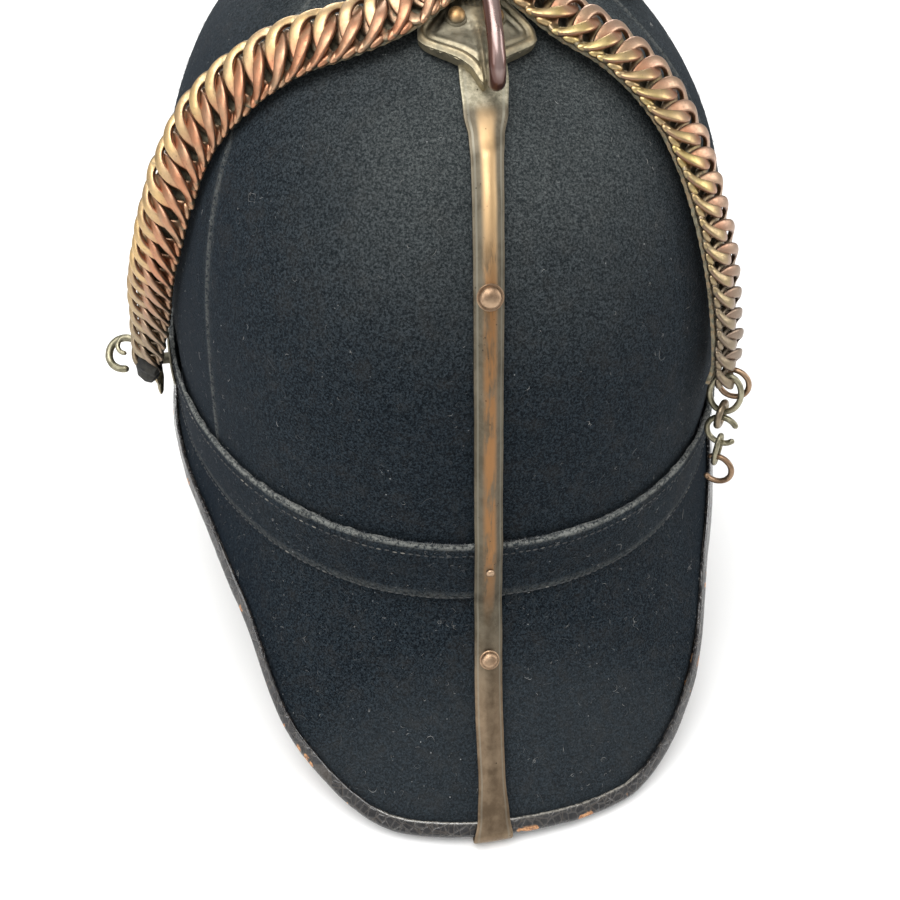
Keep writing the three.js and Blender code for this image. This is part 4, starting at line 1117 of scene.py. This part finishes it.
def make_hook():
    road = Road([over_crown(x, y, rise)[0] for y, rise, x in HOOK_RUN])

    def spot(u, v):
        run = u * road.length
        end = min(run, road.length - run)
        radius = 1.87 * sqrt(max(1 - max(1 - end / 1.6, 0) ** 2, 1e-6))
        along = road.heading(u)
        out = along.cross(Vector((1, 0, 0))).normalized()
        side = along.cross(out)
        a = v * 2 * pi
        radius *= 1 + 0.03 * lump(u * 20, cos(a), sin(a))
        return (road.at(u) + (out * sin(a) + side * cos(a) * 1.05) * radius) * MM
    rod = rolled("hook_rod", 160, 24, spot)
    out = normals_of(rod)
    # painted highlight: this mark is strongest where the rod faces up towards the lamps and fades to painted
    # shade on its flanks
    mark(rod, "painted_crest_highlight", np.clip((0.80 - np.abs(out[:, 0])) / 0.6, 0, 1)
         * np.clip(out[:, 2] * 2 - out[:, 1], 0, 1))
    return dress(rod, "rod_metal", "chain_hook", angle=60)


# half length and half width of a link, the rise and fall of its wire and how far it leans
LINK_LONG, LINK_WIDE, LINK_RISE, LINK_LEAN = 4.75, 6.2, 1.4, 2.0
LINK_COUNT, LINK_START, LINK_PITCH = 51, -1.6, 6.3
WIRE_WIDE, WIRE_THICK = 1.55, 0.72
# the lowest point of a link below its middle
LINK_DEEP = 1.73
END_WIRE = 4.6
FIRST_WIRE = LINK_START - END_WIRE
LAST_WIRE = LINK_START + (LINK_COUNT - 1) * LINK_PITCH + END_WIRE


def make_link():
    link = begin("link", "torus", major_segments=40, minor_segments=16, major_radius=1, minor_radius=0.2)

    def middle(a):
        return Vector((LINK_LONG * cos(a), LINK_WIDE * sin(a) + LINK_LEAN * cos(a),
                       -LINK_RISE * sin(2 * a)))
    spots, gold, low, outer = [], [], [], []
    for x, y, z in points_of(link):
        a, b = atan2(y, x), atan2(z, hypot(x, y) - 1)
        along = (middle(a + 0.01) - middle(a - 0.01)).normalized()
        up = Vector((0, 0, 1))
        up = (up - along * up.dot(along)).normalized()
        across = along.cross(up)
        flat = copysign(abs(cos(b)) ** 0.62, cos(b))
        tall = copysign(abs(sin(b)) ** 0.62, sin(b))
        bend = 1 - 0.25 * abs(sin(a)) ** 6
        p = middle(a) + across * flat * WIRE_WIDE * bend + up * tall * WIRE_THICK
        spots.append(p * MM)
        low.append(clamp(0.42 - p.z / 2.8))
        # the wire wears along its crown and stays dark on its flanks
        flank = abs(cos(b)) ** 2.5
        gold.append(1 - 0.85 * flank)
        outer.append(0.5 + 0.5 * sin(a))
    set_points(link, spots)
    mark(link, "gold", np.clip(gold, 0, 1))
    mark(link, "outer", outer)
    mark(link, "low", low)
    parts = [link]
    # the ends of the wires show along the inner edge as a slanted lay, two to a link
    for k in (-0.25, 0.25):
        end, base = pebble("wire_end", (2.3, 1.15, 1.0), [2, 0, 1])
        lie = radians(28 if k > 0 else 33)
        turned_over = np.array(((cos(lie), sin(lie), 0), (-sin(lie), cos(lie), 0), (0, 0, 1)))
        set_points(end, (base @ turned_over + np.array((k * LINK_PITCH, -6.45, -1.1))) * MM)
        mark(end, "gold", np.clip(0.55 + 0.5 * base[:, 2], 0, 1))
        mark(end, "low", np.clip(0.45 - 0.6 * base[:, 2], 0, 1))
        parts.append(end)
    # the wire of the next link but one crosses the opening below
    inner, base = pebble("inner_wire", (1.75, 5.3, 0.75), [1, 2, 0], 14, 10)
    base[:, 0] -= 0.10 * base[:, 1]
    set_points(inner, (base + np.array((0, 0, -0.95))) * MM)
    mark(inner, "gold", np.clip(0.3 + 0.4 * base[:, 2], 0, 1))
    mark(inner, "low", np.clip(0.80 - 0.25 * base[:, 2], 0, 1))
    parts.append(inner)
    return joined("link", parts)


# the chain draws in towards its left end
def chain_place(run):
    p, along, side, up = chain_frame(run)
    narrow = min(0.66 + 0.34 * max(run - FIRST_WIRE, 0) / 26, 1)
    return p + side * (1 - narrow) * LINK_WIDE, along, side, up, narrow


def make_chain():
    link = make_link()
    dice = random.Random(11)
    frames = []
    for i in range(LINK_COUNT):
        run = LINK_START + i * LINK_PITCH
        p, along, side, up, narrow = chain_place(run)
        side = side * narrow
        rock = Matrix.Rotation(dice.uniform(-0.05, 0.05), 3, up)
        rock = rock @ Matrix.Rotation(dice.uniform(-0.04, 0.04), 3, along)
        size = dice.uniform(0.985, 1.015)
        frames.append((p * MM, ((rock @ along) * size, (rock @ side) * size, (rock @ up) * size)))
    chain = set_out("curb_chain", link, frames)
    # the left end is blackened on its inner side
    end, along, side, _ = chain_frame(FIRST_WIRE)
    black = []
    for p in points_of(chain) / MM:
        run = (Vector(p) - end).dot(along)
        inward = -(Vector(p) - end).dot(side)
        near = (Vector(p) - end).length < 25
        black.append(near * clamp((5.5 - run + 0.45 * inward) / 3) * clamp((inward + 4.5) / 2))
    mark(chain, "black", black)
    return dress(chain, "chain_metal", "chin_chain", angle=80)


def make_backing():
    start, end, steps = FIRST_WIRE - 6.5, LAST_WIRE - 2, 330
    drop = LINK_DEEP + GAP + 0.1

    def spot(u, v):
        run = start + capped(u, steps) * (end - start)
        p, _, side, up, narrow = chain_place(run)
        half = LINK_WIDE * min(0.28 + (run - start) / 9, 1)
        near = clamp(1 - min(run - FIRST_WIRE, LAST_WIRE - run) / 9)
        low = drop + 1.7 * ease(near)
        x, y = strip_section([(0, 0), (1, 0), (1.02, 0.65), (1, 1.3), (0, 1.3), (-1, 1.3), (-1.02, 0.65),
                              (-1, 0)], v)
        half *= narrow
        # the left end is wrapped over the last link and drawn to a blunt tip
        wrap = ease(clamp((FIRST_WIRE + 5.5 - run) / 3.5))
        tip = sqrt(clamp((run - start) / 3.0, 0.03))
        half += wrap * (clamp(4.3 + 0.28 * (run - FIRST_WIRE), 1.9, 4.3) * tip - half)
        p = p - side * wrap * 1.3
        ragged = 0.28 * lump(run * 0.9, 3 * copysign(1, x), 0) + 0.16 * sin(run * 2 * pi / 2.9)
        half += ragged * abs(x)
        level = low + 1.3 - y + 0.10 * lump(run * 0.7, x * 4, 7)
        over = (2.55 + 0.7 * lump(run * 0.55, x * 1.3, 5)) * tip * sqrt(max(1 - 0.75 * x * x, 0.1))
        level += wrap * ((-over if y > 0.9 else over * 0.9 if y < 0.4 else 0) - level)
        return (p + side * x * half - up * level) * MM
    backing = rolled("chain_backing_strip", steps, 28, spot)
    cut, black = [], []
    runs = np.arange(start - 1, end + 1, 1.0)
    frames = [chain_frame(run) for run in runs]
    tree = tree_of([f[0] for f in frames])
    for p in points_of(backing) / MM:
        i = tree.find(p)[1]
        cut.append(clamp((abs((Vector(p) - frames[i][0]).dot(frames[i][2])) - 4.9) / 0.6))
        black.append(clamp((2 - runs[i]) / 4) * clamp((runs[i] - start - 1) / 2, 0.15))
    mark(backing, "cut", np.array(cut) * (1 - np.array(black)))
    mark(backing, "black", black)
    return dress(backing, "chain_lining", "chain_lining", angle=50)


# ---- rosettes and loose rings
def make_rosette(node, hand):
    turn = hand * 85
    out = outward(turn)
    p = plan(turn) + out * (2 * GAP + BAND_THICK + 0.12)
    p.z = BAND_TOP
    plate = turned("plate", [(0, 0), (9.4, 0), (9.7, 0.3), (9.4, 0.8), (8.6, 0.9), (8.2, 0.75), (2.2, 0.75),
                             (1.95, 1.0), (1.9, 4.6)], 48)
    leaves = []
    for level, radius, turned_by, rise in ((4.4, 12.0, 0, 1.5), (5.4, 8.2, pi / 8, 1.6)):
        rows = [(radius * k, z) for k, z in (
            (0.30, 0.1), (0.5, 0.2), (0.7, 0.2), (0.88, 0.1), (1, 0.1), (1.02, 0.4), (1, 0.75), (0.88, 0.95),
            (0.7, 1.1), (0.5, 0.95), (0.30, 0.8))]
        rows = [(1.0, 0)] + rows + [(1.0, 0.8)]
        leaf = turned("leaf", rows, 128)
        spots = points_of(leaf) / MM
        r = np.hypot(spots[:, 0], spots[:, 1])
        a = np.arctan2(spots[:, 1], spots[:, 0]) + turned_by
        lobe = np.abs(np.cos(a * 4))
        f = np.clip(r / radius, 0, 1)
        spots[:, :2] *= (1 - 0.17 * f**3 * (1 - lobe**0.6))[:, None]
        vein = 0.5 * hill(lobe - 1, 0.05) * f * (1 - f) * 2
        spots[:, 2] += rise * f * (0.35 + 0.65 * lobe) * (1 - 0.55 * f**4) - vein + level
        set_points(leaf, spots * MM)
        mark(leaf, "proud", np.clip(lobe * f, 0, 1))
        mark(leaf, "sunk", np.clip((1 - lobe) * 1.6 - 0.7, 0, 1) * (f < 0.95))
        leaves.append(leaf)
    boss = turned("boss", [(2.0, 6.2), (3.3, 6.4), (3.5, 7.0), (3.0, 7.5), (2.3, 7.6), (2.1, 7.9), (1.5, 8.2),
                           (0.7, 8.4), (0, 8.45)], 40)
    mark(boss, "proud", 0.7)
    rosette = placed(joined(node + "_casting", [plate] + leaves + [boss]), p, out)
    return dress(rosette, "fitting_metal", node, angle=50)


# caught on the outer wires at the left end: run along the chain, side and up from its middle,
# radius, wire, opening
LEFT_RINGS = [("loose_ring_left_1", -6, 9.8, 1.0, 5.2, 1.2, 0.6),
              ("loose_ring_left_2", -1.7, 9.3, 0.7, 2.7, 0.75, 0.8)]
# hung below the right end: out from the wall, along the chain's width, up, half height, half breadth, wire,
# lies flat, opening, its side
RIGHT_RINGS = [("end_link_right_1", 0, -1.5, -3.1, 6.0, 4.4, 0.85, False, 0, 1),
               ("loose_ring_right", 1.1, 1.3, -0.85, 4.3, 4.3, 0.8, False, 0, 1),
               ("end_stud_right", 0.2, -1.5, -10.2, 3.4, 3.4, 1.0, True, 0, 1),
               ("end_link_right_2", 1.4, -1.5, -15.5, 4.4, 4.4, 0.85, False, 0.5, 1),
               ("end_link_right_3", 1.4, -1.5, -22.55, 4.8, 2.4, 0.8, True, 0, 1),
               ("end_hook_right", 2.4, -1.5, -29.4, 4.4, 4.4, 0.85, False, 0.8, -1)]
# material slot and finish of those that aren't plain grey wire
RING_LOOKS = {"loose_ring_left_2": ("rod_metal", "ring_metal"),
              "loose_ring_right": ("stud_metal", "stud_metal"),
              "end_stud_right": ("chain_metal", "chain_metal"),
              "end_hook_right": ("stud_metal", "stud_metal")}


# an oval of wire: x points to its opening and z along its axis
def make_ring(name, middle, z, x, tall, broad, wire, mouth):
    z = z.normalized()
    x = (x - z * x.dot(z)).normalized()
    y = z.cross(x)

    steps = 66

    def spot(u, v):
        if mouth:
            u = capped(u, steps)
        a = mouth + u * 2 * (pi - mouth)
        centre = middle + x * tall * cos(a) + y * broad * sin(a)
        along = (y * broad * cos(a) - x * tall * sin(a)).normalized()
        thick = wire
        if mouth:
            end = min(u, 1 - u) * 2 * (pi - mouth) * broad
            thick *= sqrt(max(1 - max(1 - end / wire, 0) ** 2, 0.09))
        b = v * 2 * pi
        lumpy = 1 + 0.06 * lump(cos(a) * 3, sin(a) * 3, b * 0.3)
        return (centre + (z * sin(b) + along.cross(z) * cos(b)) * thick * lumpy) * MM
    ring = rolled(name + "_wire", steps, 16, spot, ends=bool(mouth))
    mark(ring, "proud", 0.25)
    mark(ring, "gold", 0.6)
    slot, finish = RING_LOOKS.get(name, ("ring_metal", "ring_metal"))
    return dress(ring, slot, name, finish=finish, angle=60)


def make_left_ring(name, run, out, rise, radius, wire, mouth):
    p, along, side, up = chain_frame(run)
    middle = p + side * out + up * rise
    return make_ring(name, middle, along * 0.85 + up * 0.5, -side, radius, radius, wire, mouth)


def make_right_ring(name, out, side, up, tall, broad, wire, flat, mouth, way):
    p, _, _, face = chain_frame(LAST_WIRE)
    n = Vector((face.x, face.y, 0)).normalized()
    s = Vector((0, 0, 1)).cross(n)
    hint = n * way if mouth else Vector((0, 0, 1))
    middle = p + n * out + s * side + Vector((0, 0, up))
    return make_ring(name, middle, n if flat else s, hint, tall, broad, wire, mouth)


# ---- loose fibres of the cloth
def cloth_spots(piece, count, dice, keep):
    mesh = piece.data
    mesh.calc_loop_triangles()
    corners = read_out(mesh.loop_triangles, "vertices", 3, np.int32)
    spots = points_of(piece)
    a, b, c = spots[corners[:, 0]], spots[corners[:, 1]], spots[corners[:, 2]]
    cross = np.cross(b - a, c - a)
    area = np.linalg.norm(cross, axis=1)
    out = cross / np.maximum(area, 1e-12)[:, None]
    chosen = area * keep((a + b + c) / 3, out)
    pick = dice.choice(len(chosen), size=count, p=chosen / chosen.sum())
    s, t = dice.random(count), dice.random(count)
    flip = s + t > 1
    s[flip], t[flip] = 1 - s[flip], 1 - t[flip]
    return a[pick] + (b - a)[pick] * s[:, None] + (c - a)[pick] * t[:, None], out[pick]


# every fibre is a bent three-sided sliver, pointed at both ends
def make_fibres(name, spots, out, dice, length, thick, curl, joints, rise=0.3):
    count = len(spots)
    aim = dice.normal(size=(count, 3))
    aim -= out * (aim * out).sum(1)[:, None]
    aim /= np.linalg.norm(aim, axis=1)[:, None]
    side = np.cross(out, aim)
    size = dice.uniform(0.5, 1.5, count) * length * MM
    bend = dice.normal(size=count) * curl
    lean = np.abs(dice.normal(size=count)) * rise
    rings = []
    for k in range(joints + 2):
        f = k / (joints + 1)
        a = bend * (f - 0.5)
        shift = (aim * np.cos(a)[:, None] + side * np.sin(a)[:, None]) * ((f - 0.5) * size)[:, None]
        side_shift = side * (np.sin(bend) * (f - 0.5) ** 2 * size)[:, None]
        raise_by = out * ((0.05 * MM + lean * size * 4 * f * (1 - f) * 0.5 + lean * size * f * 0.4))[:, None]
        rings.append(spots + shift + side_shift + raise_by)
    points = [rings[0]]
    wide = thick * MM * dice.uniform(0.6, 1.3, count)[:, None]
    for ring in rings[1:-1]:
        points += [ring + side * wide] + [ring - side * wide * 0.5 + out * wide * up for up in (0.85, -0.85)]
    points.append(rings[-1])
    per = len(points)
    spots = np.stack(points, 1).reshape(-1, 3)
    tris = []
    for j in range(3):
        k = (j + 1) % 3
        tris += [(0, 1 + k, 1 + j), (per - 1, per - 4 + j, per - 4 + k)]
        for i in range(joints - 1):
            a, b = 1 + 3 * i, 4 + 3 * i
            tris += [(a + j, a + k, b + k), (a + j, b + k, b + j)]
    tris = np.array(tris)
    faces = (tris[None] + (np.arange(count) * per)[:, None, None]).reshape(-1, 3)
    mesh = bpy.data.meshes.new(name)
    mesh.from_pydata(spots.tolist(), [], faces.tolist())
    piece = stand(name, mesh)
    mark(piece, "odd", np.repeat(dice.random(count), per))
    return piece


def shade_each(fibres, shades):
    mark(fibres, "odd", np.repeat(shades, len(fibres.data.vertices) // len(shades)))


NAP_COUNT, LINT_COUNT, FRAY_COUNT = 7200, 420, 4200


def make_nap(crown, band, peaks):
    dice = np.random.default_rng(5)
    fields = [(crown, 1.0, lambda c, n: (((c - HEART) * n).sum(1) > 0) & (c[:, 2] > 0.085)),
              (band, 0.35, lambda c, n: ((c * n)[:, :2].sum(1) > 0)),
              (peaks[0], 0.45, lambda c, n: n[:, 2] > 0.1), (peaks[1], 0.45, lambda c, n: n[:, 2] > 0.1)]
    short, long = [], []
    for piece, share, keep in fields:
        short.append(cloth_spots(piece, int(NAP_COUNT * share), dice, keep))
        long.append(cloth_spots(piece, int(LINT_COUNT * share), dice, keep))
    nap = make_fibres("cloth_nap", *map(np.concatenate, zip(*short)), dice, 1.3, 0.035, 1.6, 2)
    lint = make_fibres("cloth_lint", *map(np.concatenate, zip(*long)), dice, 3.2, 0.04, 3.6, 5, 0.12)
    shade_each(lint, dice.uniform(0.6, 1.0, sum(len(spots) for spots, _ in long)))
    # frayed hairs along the band's turned edge
    turns = dice.uniform(0, 360, FRAY_COUNT)
    tops = [Vector((0, 0, BAND_TOP + lift(t) - 0.15)) for t in turns]
    edge = np.array([(plan(t) + outward(t) * 1.2 + top) * MM for t, top in zip(turns, tops)])
    fray_out = np.array([(outward(t) * 0.4 + Vector((0, 0, 1))).normalized() for t in turns])
    fray = make_fibres("band_edge_fray", edge, fray_out, dice, 1.2, 0.05, 2.0, 2, 0.35)
    shade_each(fray, dice.uniform(0.55, 1.0, FRAY_COUNT))
    for fibres in (nap, lint, fray):
        dress(fibres, "navy_cloth", finish="fibre")


# ---- making the helmet
set_camera()
set_lights()
bpy.ops.object.select_all(action="DESELECT")
bpy.ops.mesh.primitive_plane_add(size=6, location=(0, 0, -0.0002))
floor = named("floor")
floor.data.materials.append(pale_floor())
bpy.context.scene.view_settings.view_transform = "Standard"

crown = make_crown()
band = make_band()
peaks = (make_peak("back_peak", "rear_peak_shell"), make_peak("front_peak", "front_peak_shell"))
make_band_stitching()
make_binding("back_binding", "rear_patent_binding", "patent_edge", BACK_RIM, 0, 3.2, 0.9)
make_binding("front_binding", "front_metal_binding", "edge_metal", FRONT_RIM, 180, 4.8, 0.8)
make_bar()
for row in STUDS:
    make_stud(*row)
make_cross_base()
make_spike()
make_hook()
make_chain()
make_backing()
make_rosette("rosette_left", -1)
make_rosette("rosette_right", 1)
for row in LEFT_RINGS:
    make_left_ring(*row)
for row in RIGHT_RINGS:
    make_right_ring(*row)
make_nap(crown, band, peaks)
